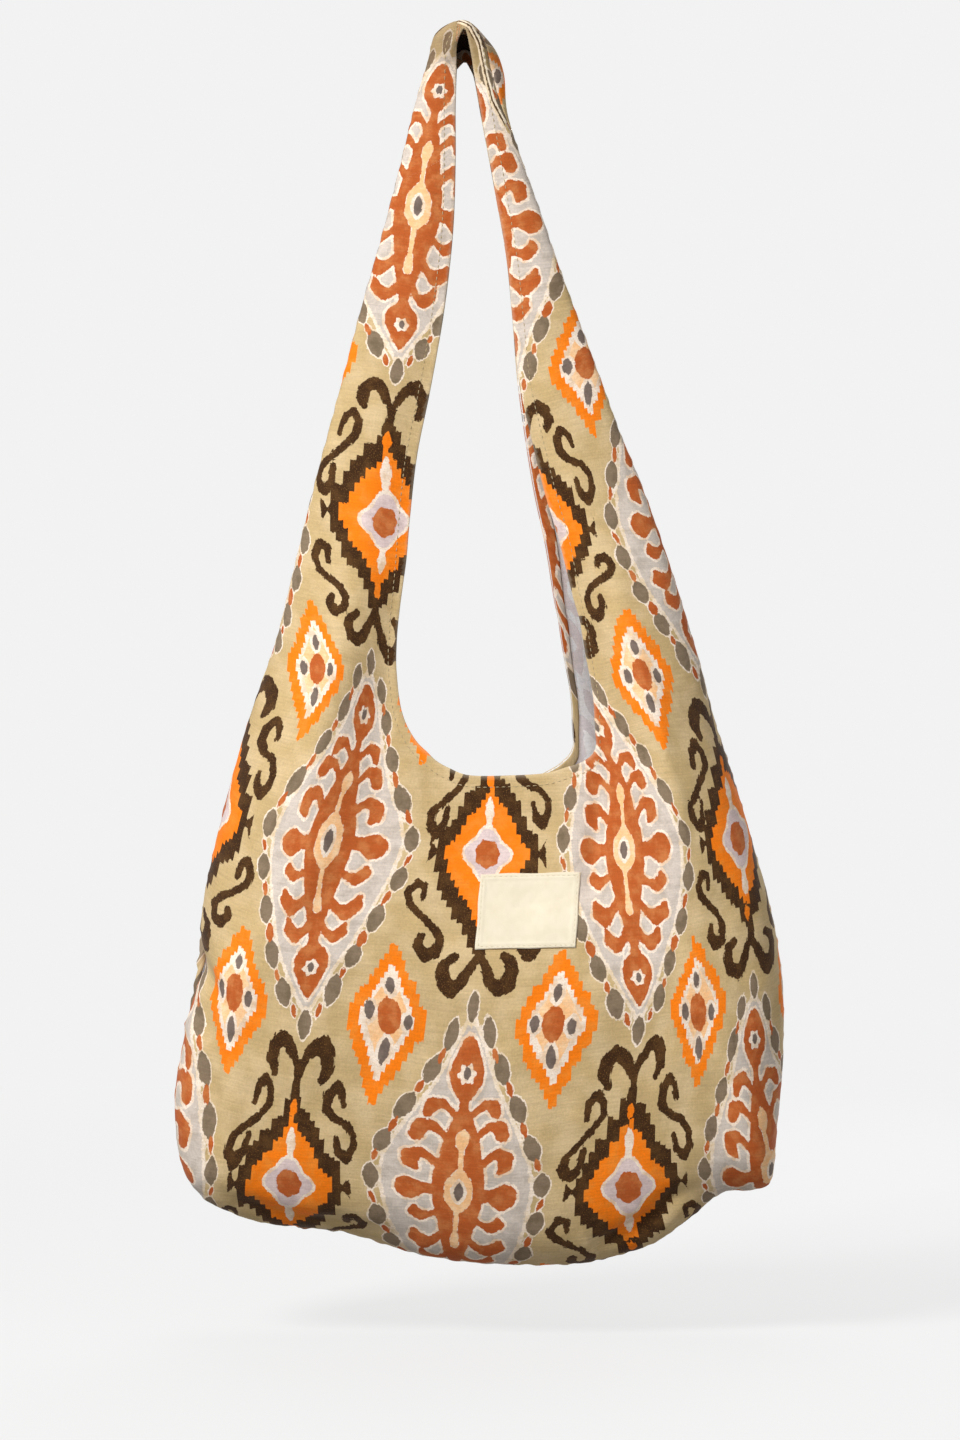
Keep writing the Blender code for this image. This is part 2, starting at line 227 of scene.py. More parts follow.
    def smooth_rows(self) -> Array:
        """A closed Catmull-Rom curve through the stations, sampled finely.

        Returns:
            Rows like those of the stations, many more of them.
        """
        rows = self.stations()
        near = [np.roll(rows, shift, axis=0) for shift in (1, 0, -1, -2)]
        out = []
        for step in range(self.steps_per_station):
            t = step / self.steps_per_station
            weights = (
                (-t + 2 * t**2 - t**3) / 2,
                (2 - 5 * t**2 + 3 * t**3) / 2,
                (t + 4 * t**2 - 3 * t**3) / 2,
                (-(t**2) + t**3) / 2,
            )
            out.append(sum(w * r for w, r in zip(weights, near)))
        return np.stack(out, axis=1).reshape(-1, rows.shape[1])

    @staticmethod
    def span(row: Array) -> Array:
        """The way from the middle between the two mouth edges to the seam, as the viewer sees it."""
        return row[0:2] - (row[2:4] + row[4:6]) / 2

    def profile(self, row: Array, side: Side) -> dict[str, Array]:
        """One station's section on one side, in the plane of (way from mouth edge to seam, depth).

        Args:
            row: The station's row in metres.
            side: Front or back.

        Returns:
            The outer face from mouth edge to seam, and at the seam the directions across it and into the bag.
        """
        depth, edge, square, roll = row[6:10]
        angle = np.linspace(0, math.pi / 2, self.curve_points)
        out = np.sin(angle) ** (2 / square)
        turn = np.cos(angle) ** (2 / square)
        swell = np.sin(math.pi / 2 * np.minimum(1, out / self.swell_by)) ** self.swell_power
        reach = float(np.linalg.norm(self.span(row)))
        half = np.stack([out * reach, -(edge + (depth - edge) * swell) * turn], axis=1)
        whole = np.concatenate([half, (half * (1, -1))[-2::-1]])
        run = np.concatenate([[0], np.cumsum(np.linalg.norm(np.diff(whole, axis=0), axis=1))])

        def along(wanted: Array) -> Array:
            """The section's points at these distances from its start."""
            return np.stack([np.interp(wanted, run, whole[:, k]) for k in (0, 1)], axis=1)

        place = run[-1] / 2 - roll
        before, point, after = along(np.array([place - self.cloth, place, place + self.cloth]))
        across = (after - before) / np.linalg.norm(after - before)
        ahead = -across * side.value
        start = 0.0 if side is Side.FRONT else run[-1]
        outer = along(np.linspace(start, place + self.clearance / 2 * side.value, self.steps_across))
        outer[-1] = point - ahead * self.clearance / 2
        return {"outer": outer, "ahead": ahead, "inside": np.array([-across[1], across[0]])}

    def lift(self, row: Array, points: Array) -> Array:
        """Section points taken to their place in space.

        Args:
            row: The station's row in metres.
            points: Points as (way from mouth edge to seam, depth).

        Returns:
            The points as (x, y, z).
        """
        reach = float(np.linalg.norm(self.span(row)))
        share = np.clip((points[:, 1] / row[7] + 1) / 2, 0, 1)[:, None]
        mouth = row[2:4] * (1 - share) + row[4:6] * share
        flat = mouth + (row[0:2] - mouth) * (points[:, 0:1] / reach)
        return np.stack([flat[:, 0], points[:, 1], flat[:, 1]], axis=1)


@dataclass(frozen=True)
class Fold:
    """A crease or a soft roll in the hanging cloth.

    Attributes:
        path: Points that the fold runs through, as the viewer sees them, in metres across and up.
        depth: How far it stands out, or in where negative.
        width: Half its width.
        lean: Above zero, the side to the right of the path stays raised as a step.
    """

    path: tuple
    depth: float
    width: float
    lean: float = 0.0

    def near(self, x: Array, z: Array) -> tuple[Array, Array]:
        """The signed distance from the path, above zero to its right, and the share of the way along it.

        Args:
            x: Points across.
            z: Points up.

        Returns:
            The distances and the shares.
        """
        line = np.array(self.path)
        best = np.full(x.shape, 1e9)
        signed = np.zeros(x.shape)
        share = np.zeros(x.shape)
        lengths = np.linalg.norm(np.diff(line, axis=0), axis=1)
        total, before = lengths.sum(), 0.0
        for (ax, az), (bx, bz), length in zip(line, line[1:], lengths):
            dx, dz = (bx - ax) / length, (bz - az) / length
            t = np.clip((x - ax) * dx + (z - az) * dz, 0, length)
            off_x, off_z = x - ax - t * dx, z - az - t * dz
            away = np.hypot(off_x, off_z)
            nearer = away < best
            best = np.where(nearer, away, best)
            signed = np.where(nearer, np.sign(off_x * -dz + off_z * dx) * away, signed)
            share = np.where(nearer, (before + t) / total, share)
            before += length
        return signed, share

    def height(self, x: Array, z: Array) -> Array:
        """How far the fold lifts the cloth at these places.

        Args:
            x: Points across.
            z: Points up.

        Returns:
            The lift in metres.
        """
        signed, share = self.near(x, z)
        best = np.abs(signed)
        taper = np.sin(math.pi * np.clip(share, 0.0, 1.0)) ** 0.6
        bump = np.exp(-((best / self.width) ** 2))
        step = self.lean * 0.5 * (1 + np.tanh(signed / (self.width * 0.6))) * np.exp(-((best / (self.width * 5)) ** 2))
        return self.depth * taper * (bump + step)


PICTURE_UNIT = 0.58e-3  # metres to one unit of the viewer's picture of the bag
PICTURE_CROWN = (465.0, 32.0)  # where the strap's crown stands in that picture, across and down


def pixel(px: float, py: float) -> tuple[float, float]:
    """A place in the viewer's picture of the bag, in the picture's own units, taken to metres across and up."""
    return ((px - PICTURE_CROWN[0]) * PICTURE_UNIT, (PICTURE_CROWN[1] - py) * PICTURE_UNIT)


def through(*places: tuple[float, float]) -> tuple:
    """A path through places of the viewer's picture, in metres."""
    return tuple(pixel(*place) for place in places)


# ---------------------------------------------------------------- a panel's surface, laid flat and hung


def point_in_loop(points: Array, loop: Array) -> Array:
    """Whether each flat point lies inside a closed loop.

    Args:
        points: Flat points, one a row.
        loop: The loop's corners in order.

    Returns:
        One truth value a point.
    """
    inside = np.zeros(len(points), bool)
    for (ax, ay), (bx, by) in zip(loop, np.roll(loop, -1, axis=0)):
        if ay == by:
            continue
        crosses = (points[:, 1] < ay) != (points[:, 1] < by)
        inside ^= crosses & (points[:, 0] < (bx - ax) * (points[:, 1] - ay) / (by - ay) + ax)
    return inside


def unit_rows(ways: Array) -> Array:
    """Directions made one long, along the last axis."""
    return ways / np.linalg.norm(ways, axis=-1, keepdims=True)


def cross_2d(one: Array, other: Array) -> Array:
    """Twice the signed area between flat directions, one pair a row."""
    return one[:, 0] * other[:, 1] - one[:, 1] * other[:, 0]


@dataclass
class ClothGrid:
    """One panel's outer face as a fine grid, both hung in space and laid flat.

    Attributes:
        place: Points in space, station by station, from mouth edge to seam.
        flat: The same points on the flat cloth.
        normal: Directions out of the bag.
        inward: At the seam, the direction into the bag.
        ahead: At the seam, the direction across it.
    """

    SAMPLE: ClassVar[int] = 10  # a point a little in from the mouth edge, where the cloth surely faces its side

    place: Array
    flat: Array
    normal: Array
    inward: Array
    ahead: Array
    triangles: Array = field(init=False)
    flat_tree: BVHTree = field(init=False)
    place_tree: BVHTree = field(init=False)

    def __post_init__(self) -> None:
        """Makes the triangles and the search trees."""
        count, across = self.place.shape[:2]
        index = np.arange(count * across).reshape(count, across)
        here, ahead = index, np.roll(index, -1, axis=0)
        first = np.stack([here[:, :-1], here[:, 1:], ahead[:, 1:]], axis=-1).reshape(-1, 3)
        second = np.stack([here[:, :-1], ahead[:, 1:], ahead[:, :-1]], axis=-1).reshape(-1, 3)
        self.triangles = np.concatenate([first, second])
        level = np.concatenate([self.flat.reshape(-1, 2), np.zeros((count * across, 1))], axis=1)
        faces = self.triangles.tolist()
        self.flat_tree = BVHTree.FromPolygons(level.tolist(), faces)
        self.place_tree = BVHTree.FromPolygons(self.place.reshape(-1, 3).tolist(), faces)

    @classmethod
    def hung(cls, form: HangingForm, side: Side) -> "ClothGrid":
        """The grid of one panel.

        Args:
            form: The bag's form.
            side: Front or back.

        Returns:
            The panel's grid.
        """
        place, mouths, ways, inward, ahead = [], [], [], [], []
        for row in form.smooth_rows():
            section = form.profile(row, side)
            place.append(form.lift(row, section["outer"]))
            mouths.append(row[2:4] if side is Side.FRONT else row[4:6])
            ways.append(row[0:2] - mouths[-1])
            lean = unit_rows(form.span(row))
            for target, word in ((inward, "inside"), (ahead, "ahead")):
                target.append((section[word][0] * lean[0], section[word][1], section[word][0] * lean[1]))
        hung = np.array(place)
        run = np.linalg.norm(np.diff(hung, axis=1), axis=2)
        run = np.concatenate([np.zeros((len(hung), 1)), np.cumsum(run, axis=1)], axis=1)
        laid = np.array(mouths)[:, None] + unit_rows(np.array(ways))[:, None] * run[:, :, None]
        along = np.roll(hung, -1, axis=0) - np.roll(hung, 1, axis=0)
        outward = unit_rows(np.cross(np.gradient(hung, axis=1), along))
        facing = np.sign(outward[0, cls.SAMPLE, 1] * side.value)
        return cls(hung, laid, outward * facing, np.array(inward), np.array(ahead))

    def _blend(self, corners: Array, weights: Array, values: Array) -> Array:
        """Values of the grid's points, blended at places within triangles."""
        return np.einsum("kc,kcd->kd", weights, values.reshape(-1, values.shape[-1])[corners])

    def at_flat(self, points: Array) -> dict[str, Array]:
        """The hung surface at points of the flat cloth.

        Args:
            points: Flat points, one a row.

        Returns:
            Place, normal, share of the way to the seam, and share of the way round the loop.
        """
        found = [self.flat_tree.find_nearest((x, y, 0.0))[2] for x, y in points]
        corners = self.triangles[found]
        a, b, c = (self.flat.reshape(-1, 2)[corners[:, k]] for k in range(3))
        area = cross_2d(b - a, c - a)
        area = np.where(np.abs(area) < 1e-14, 1e-14, area)
        second = cross_2d(points - a, c - a) / area
        third = cross_2d(b - a, points - a) / area
        weights = np.clip(np.stack([1 - second - third, second, third], axis=1), 0, 1)
        weights /= weights.sum(axis=1, keepdims=True)
        count, across = self.place.shape[:2]
        shares = np.tile(np.linspace(0, 1, across), (count, 1))[:, :, None]
        return {
            "place": self._blend(corners, weights, self.place),
            "normal": unit_rows(self._blend(corners, weights, self.normal)),
            "share": self._blend(corners, weights, shares)[:, 0],
            "round": (corners[:, 0] // across) / count,
        }

    def flat_where_seen(self, seen_from: Vector, spot: Vector) -> Array:
        """The flat point that a straight look through a spot meets, or the one nearest to it.

        Args:
            seen_from: Where the viewer stands.
            spot: What they look at.

        Returns:
            The flat point.
        """
        way = (spot - seen_from).normalized()
        found = self.place_tree.ray_cast(seen_from, way)
        if found[0] is None:
            found = self.place_tree.find_nearest(spot)
        corners = self.triangles[found[2]]
        points = self.place.reshape(-1, 3)[corners]
        edge_b, edge_c, away = points[1] - points[0], points[2] - points[0], np.array(found[0]) - points[0]
        solved = np.linalg.lstsq(np.stack([edge_b, edge_c], axis=1), away, rcond=None)[0]
        weights = np.array([1 - solved.sum(), *solved])
        return weights @ self.flat.reshape(-1, 2)[corners]


# ---------------------------------------------------------------- the print


def from_line(x: Array, y: Array, start: Sequence[float], end: Sequence[float]) -> tuple[Array, Array]:
    """How far each point lies from a straight line between two places, and how far along it, from 0 to 1.

    Args:
        x: Points across.
        y: Points down.
        start: Where the line starts.
        end: Where it ends.

    Returns:
        The distances and the shares of the way.
    """
    dx, dy = end[0] - start[0], end[1] - start[1]
    t = np.clip(((x - start[0]) * dx + (y - start[1]) * dy) / max(dx * dx + dy * dy, 1e-9), 0, 1)
    return np.hypot(x - start[0] - t * dx, y - start[1] - t * dy), t


def outline_depth(x: Array, y: Array, profile: Sequence[tuple[float, float]]) -> Array:
    """How deep each point lies inside a motif that is the same on its left and right, below zero outside it.

    Args:
        x: Points across from its middle line.
        y: Points down.
        profile: Half widths down the motif, as (down, half width) pairs.

    Returns:
        The distance to the outline, above zero inside.
    """
    right = [(half, down) for down, half in profile]
    corners = np.array(right + [(-half, down) for half, down in reversed(right)], float)
    nearest = np.full(x.shape, 1e9)
    for start, end in zip(corners, np.roll(corners, -1, axis=0)):
        nearest = np.minimum(nearest, from_line(x, y, start, end)[0])
    return np.where(point_in_loop(np.stack([x, y], axis=1), corners), nearest, -nearest)


def stroke_depth(x: Array, y: Array, path: Sequence[tuple[float, float, float]]) -> Array:
    """How deep each point lies inside a brush stroke given by (across, down, half width) points.

    Args:
        x: Points across.
        y: Points down.
        path: The stroke's points.

    Returns:
        The distance to its outline, above zero inside.
    """
    best = np.full(x.shape, -1e9)
    for (*start, wide), (*end, wide_there) in zip(path, path[1:]):
        away, share = from_line(x, y, start, end)
        best = np.maximum(best, wide + (wide_there - wide) * share - away)
    return best


def almond_depth(x: Array, y: Array, spot: tuple[float, float], half: tuple[float, float], tilt: float = 0.0) -> Array:
    """How deep each point lies inside a pointed almond.

    Args:
        x: Points across.
        y: Points down.
        spot: The almond's centre.
        half: Half its width and half its height.
        tilt: How its lower tip leans, in radians towards the right.

    Returns:
        The distance to its outline, above zero inside.
    """
    away_x, away_y = x - spot[0], y - spot[1]
    across = away_x * math.cos(tilt) - away_y * math.sin(tilt)
    down = away_x * math.sin(tilt) + away_y * math.cos(tilt)
    wide, tall = half
    radius = (wide * wide + tall * tall) / (2 * wide)
    return radius - np.hypot(np.abs(across) + radius - wide, down)


class PrintFields:
    """How deep points of the cloth lie inside the areas of each colour, in millimetres, motif after motif."""

    NAMES = ("cream_a", "lilac", "taupe", "brown", "orange", "cream_b", "mauve", "peach", "rust", "core", "seed_rim")
    OUTSIDE = -20.0
    WAVER = math.tau * 0.2  # how far one wave carries a motif's edge, before the shares below
    WAVER_SHARES = (0.7, 1.1)

    def __init__(self, cells: Array, size: tuple[float, float], unit: float) -> None:
        """Starts with no colour anywhere, and draws the slow waver of the motifs' edges.

        Args:
            cells: Columns and rows of the print, one point a row.
            size: A column's width and a row's height, in the print's units.
            unit: One unit in millimetres.
        """
        self.cells, self.size, self.unit = cells, size, unit
        self.found = {name: np.full(len(cells), self.OUTSIDE) for name in self.NAMES}
        rng = np.random.default_rng(7)
        waves = [rng.uniform(-1, 1, 4) for _ in range(6)]
        across, down = cells[:, 0], cells[:, 1]
        sideways = sum(self.WAVER * np.sin(across * 9 * a + down * 15 * b + 9 * c) for a, b, c, _ in waves)
        lengthwise = sum(self.WAVER * np.sin(across * 11 * b + down * 17 * c + 9 * a) for a, b, c, _ in waves)
        self.waver = (sideways * self.WAVER_SHARES[0], lengthwise * self.WAVER_SHARES[1])

    def around(self, start: tuple, step: int, reach: tuple) -> tuple[Array, Array, Array]:
        """The points near one set of motifs.

        Args:
            start: The column and row of one of them.
            step: Columns and rows from one to the next.
            reach: How far they reach across and down, in units.

        Returns:
            Which points are near, and how far across and down from the nearest middle they lie.
        """
        near = []
        for k in (0, 1):
            place = self.cells[:, k] - start[k]
            near.append((place - step * np.round(place / step)) * self.size[k] + self.waver[k])
        where = (np.abs(near[0]) < reach[0]) & (np.abs(near[1]) < reach[1])
        return where, near[0][where], near[1][where]

    def lay(self, name: str, where: Array, depth: Array) -> None:
        """Adds a shape to a colour's area, by its depth in units at the points where it is near."""
        self.found[name][where] = np.maximum(self.found[name][where], depth * self.unit)


@dataclass(frozen=True)
class IkatPrint:
    """The ikat-style print: rows of scalloped medallions, stepped diamonds with horns, and small lozenges.

    Motifs are drawn by formula in units of 0.58 mm, across and down from each motif's middle. Medallions and
    diamonds take turns over the columns and rows, and lozenges stand halfway between. The stepped outlines of
    diamonds and lozenges need sharp corners, so they are left to the material.
    """

    unit: float = 0.58
    column: float = 168.0
    row: float = 335.0
    medallion: tuple = (
        (-172, 0.5), (-148, 15), (-114, 28), (-75, 47), (-40, 63), (-8, 70), (30, 67), (55, 60), (80, 51), (105, 39),
        (130, 25), (156, 10), (172, 0.5),
    )
    almonds: tuple = (
        (0, -182, 6, 14, 0), (20, -161, 6.5, 14, 0.28), (34, -130, 7.5, 15, 0.32), (51, -93, 8, 15, 0.44),
        (67, -55, 8, 15.5, 0.38), (80, -13, 7.8, 15, 0.1), (78, 32, 8, 15, -0.12), (65, 75, 8.4, 16, -0.26),
        (46, 117, 8.2, 16, -0.36), (27, 153, 8.6, 16, -0.28), (0, 184, 7.5, 15, 0),
    )
    drops: tuple = (
        (27, -143, 2.6, 8), (42, -112, 3.2, 8), (58, -74, 3.2, 9), (74, -37, 2.8, 9), (81, 10, 2.6, 8),
        (71, 54, 3.4, 9), (54, 97, 5.2, 10), (36, 137, 2.8, 7), (14, 171, 3, 8),
    )
    body: tuple = (
        (-108, 3.5), (-96, 4.5), (-86, 8.5), (-75, 12), (-62, 15.5), (-45, 19), (-24, 25), (-6, 27), (12, 26), (37, 20),
        (52, 16), (64, 13.5), (82, 8.5), (97, 5), (108, 5),
    )
    top_bud: tuple = (
        (-160, 1), (-156, 7), (-148, 11), (-140, 15), (-130, 17), (-121, 15), (-112, 9), (-104, 4),
    )
    low_bud: tuple = ((98, 5), (104, 8), (109, 15), (118, 19), (130, 18.5), (141, 13), (150, 8), (160, 1))
    hooks: tuple = (
        ((3, -84, 3), (11, -94, 3.2), (19, -101, 4.8), (27, -98, 6.6), (30, -90, 4.6)),
        ((9, -58, 3), (17, -70, 3.2), (25, -78, 4.6), (34, -76, 7.6), (37, -68, 7)),
        ((20, -34, 4), (27, -43, 4), (35, -48, 6), (43, -44, 7.6), (43, -35, 7), (39, -28, 3)),
        ((22, -3, 7), (34, -3, 7), (45, -2, 14.5)),
        ((18, 24, 3.6), (28, 30, 3.8), (37, 33, 6.6), (44, 28, 6.2), (44, 22, 3)),
        ((13, 52, 4.5), (22, 62, 5), (32, 67, 8.8), (41, 61, 8), (44, 52, 3.2)),
        ((6, 78, 4), (13, 90, 4.4), (22, 95, 7.4), (30, 89, 6.6), (33, 80, 3)),
    )
    spear: tuple = (
        (1, -72, 2.4), (1, -66, 6.2), (0, -59, 5.8), (0, -51, 2.6), (0, -30, 2.6), (0, -21, 8), (0, -10, 14.5),
        (0, 3, 15), (0, 13, 9), (0, 21, 2.8), (0, 46, 2.6), (0, 56, 4.6), (0, 63, 4.8),
    )
    horns: tuple = (
        ((0, -84, 6), (0, -104, 3.5), (3, -114, 4), (8, -124, 5), (16, -133, 6.5), (24, -136, 7.8), (31, -129, 7.5),
         (33, -118, 6.5), (28, -107, 4)),
        ((0, 92, 3), (0, 101, 4), (3, 110, 4.5), (9, 119, 5.5), (15, 131, 6.5), (24, 137, 8.2), (33, 132, 7.5),
         (36, 120, 6.5), (33, 111, 5.5), (25, 106, 4.5)),
        ((60, 50, 3), (61, 36, 4), (69, 33, 4.5), (76, 45, 4.5), (72, 56, 4.5), (60, 66, 4), (47, 75, 4),
         (39, 87, 4.5), (42, 99, 5.5), (52, 105, 6), (59, 95, 5), (57, 86, 4)),
    )
    left_curl: tuple = (
        (-49, -77, 3.2), (-46, -93, 4.2), (-39, -101, 5), (-31, -91, 4.5), (-31, -77, 4.5), (-42, -64, 4),
        (-57, -51, 4), (-69, -41, 4.5), (-71, -29, 5), (-62, -18, 6), (-54, -28, 4.5), (-51, -44, 3.2),
    )
    right_curl: tuple = (
        (56, -88, 3.2), (52, -101, 4), (46, -106, 4.5), (38, -96, 5), (38, -82, 5.5), (48, -73, 4.5),
        (62, -68, 4), (71, -56, 4.2), (71, -42, 4.5), (64, -31, 6), (55, -38, 4.5), (52, -53, 3.2),
    )
    medallion_reach: tuple = (100, 215)
    diamond_reach: tuple = (100, 165)
    lozenge_reach: tuple = (60, 90)
    field_rim: float = 4.4
    almond_rim: float = 1.4
    drop_rim: float = 1.2
    body_rim: float = 2.7
    field_inset: float = 0.6
    almond_gap: float = 2.4
    flower_down: tuple = (-130, 128)
    flower_size: float = 8.2
    bow_out: float = 58.5
    quatrefoil_size: float = 23.5
    quatrefoil_rim: float = 1.6
    quatrefoil_spear: tuple = ((0, 24, 4), (0, 36, 3.4), (0, 45, 5.5), (0, 52, 4.5), (0, 60, 1.5))
    seeds: tuple = ((0, -29, 4.4, 9), (0, 31, 5, 12), (-18.5, 0, 5, 9), (18, 2, 4.6, 8))
    seed_rim: float = 3.4

    @property
    def repeat(self) -> tuple[float, float]:
        """A column's width and a row's height in millimetres."""
        return self.column * self.unit, self.row * self.unit

    def fields(self, cells: Array) -> dict[str, Array]:
        """How deep each point lies inside the areas of each colour, in millimetres.

        Args:
            cells: Columns and rows of the print, one point a row.

        Returns:
            One field for each colour, in the order in which the colours lie on each other.
        """
        painted = PrintFields(cells, (self.column, self.row), self.unit)
        for start in ((0.0, 0.0), (1.0, 1.0)):
            self._lay_medallions(painted, *painted.around(start, 2, self.medallion_reach))
        for start in ((0.0, 1.0), (1.0, 0.0)):
            self._lay_diamonds(painted, *painted.around(start, 2, self.diamond_reach))
        self._lay_lozenges(painted, *painted.around((0.5, 0.5), 1, self.lozenge_reach))
        return painted.found

    def _lay_medallions(self, painted: PrintFields, where: Array, x: Array, y: Array) -> None:
        """The scalloped medallions with their rust tree: points near them, across and down from the middle.

        Args:
            painted: The colours' fields, which it adds to.
            where: Which points of the cloth lie near one.
            x: Across from the middle at those points.
            y: Down from the middle at those points.
        """
        wide = np.abs(x)
        ground = outline_depth(x, y, self.medallion)
        almonds = np.maximum.reduce([almond_depth(wide, y, row[:2], row[2:4], row[4]) for row in self.almonds])
        tilt = 0.3 * np.sign(-np.array(self.drops)[:, 1])
        drops = np.maximum.reduce(
            [almond_depth(wide, y, row[:2], row[2:], lean) for row, lean in zip(self.drops, tilt)])
        rims = [ground + self.field_rim, almonds + self.almond_rim, drops + self.drop_rim]
        painted.lay("cream_a", where, np.maximum.reduce(rims))
        inside = -np.maximum(almonds, drops) - self.almond_gap
        painted.lay("lilac", where, np.minimum(ground + self.field_inset, inside))
        painted.lay("taupe", where, almonds)
        tree = [outline_depth(x, y, part) for part in (self.body, self.top_bud, self.low_bud)]
        shape = np.maximum.reduce(tree + [stroke_depth(wide, y, path) for path in self.hooks])
        top, low = self.flower_down
        petals = 1.5 * np.cos(6 * np.arctan2(np.where(y < 0, y - top, y - low), x) + 0.6)
        flower = self.flower_size + petals - np.minimum(np.hypot(x, y - top), np.hypot(x, y - low))
        spear = stroke_depth(x, y, self.spear)
        painted.lay("cream_b", where, shape + self.body_rim)
        painted.lay("peach", where, np.minimum(spear, -almond_depth(x, y, (0, -3), (8.5, 16))))
        painted.lay("rust", where, np.maximum(np.minimum(shape, -np.maximum(flower, spear)), drops))
        for spot, half in (((0, top - 1), (3.5, 6)), ((0, low), (3.5, 6)), ((0, -3), (5, 12))):
            painted.lay("core", where, almond_depth(x, y, spot, half))

    def _lay_diamonds(self, painted: PrintFields, where: Array, x: Array, y: Array) -> None:
        """The horns, curls and quatrefoil of the stepped diamonds: points near them, as for the medallions.

        Args:
            painted: The colours' fields, which it adds to.
            where: Which points of the cloth lie near one.
            x: Across from the middle at those points.
            y: Down from the middle at those points.
        """
        wide = np.abs(x)
        off_bow = np.abs(wide - self.bow_out)
        bows = np.minimum(8.0 - off_bow, 1.5 + off_bow * 1.6 - np.abs(y))
        strokes = [stroke_depth(wide, y, path) for path in self.horns]
        strokes += [stroke_depth(x, y, path) for path in (self.left_curl, self.right_curl)]
        painted.lay("brown", where, np.maximum.reduce([bows, *strokes]))
        for spot, half in (((0, -77), (4, 10)), ((0, 79), (4, 11))):
            painted.lay("orange", where, almond_depth(x, y, spot, half))
        turn = np.arctan2(y, x)
        quatrefoil = self.quatrefoil_size + 3.4 * np.cos(4 * turn) - np.hypot(x, y * 0.90)
        spears = stroke_depth(x, np.abs(y), self.quatrefoil_spear)
        painted.lay("cream_b", where, np.maximum(quatrefoil + self.quatrefoil_rim, spears))
        painted.lay("mauve", where, quatrefoil - self.quatrefoil_rim)
        painted.lay("rust", where, 13.2 + 0.8 * np.cos(7 * turn + 1) - np.hypot(x, y * 0.82))

    def _lay_lozenges(self, painted: PrintFields, where: Array, x: Array, y: Array) -> None:
        """The seeds and the middle of the small lozenges: points near them, as for the medallions.

        Args:
            painted: The colours' fields, which it adds to.
            where: Which points of the cloth lie near one.
            x: Across from the middle at those points.
            y: Down from the middle at those points.
        """
        seeds = np.maximum.reduce([almond_depth(x, y, row[:2], row[2:]) for row in self.seeds])
        painted.lay("seed_rim", where, seeds + self.seed_rim)
        painted.lay("rust", where, (1 - np.hypot(x / 11, y / 17)) * 11)
        painted.lay("core", where, seeds)


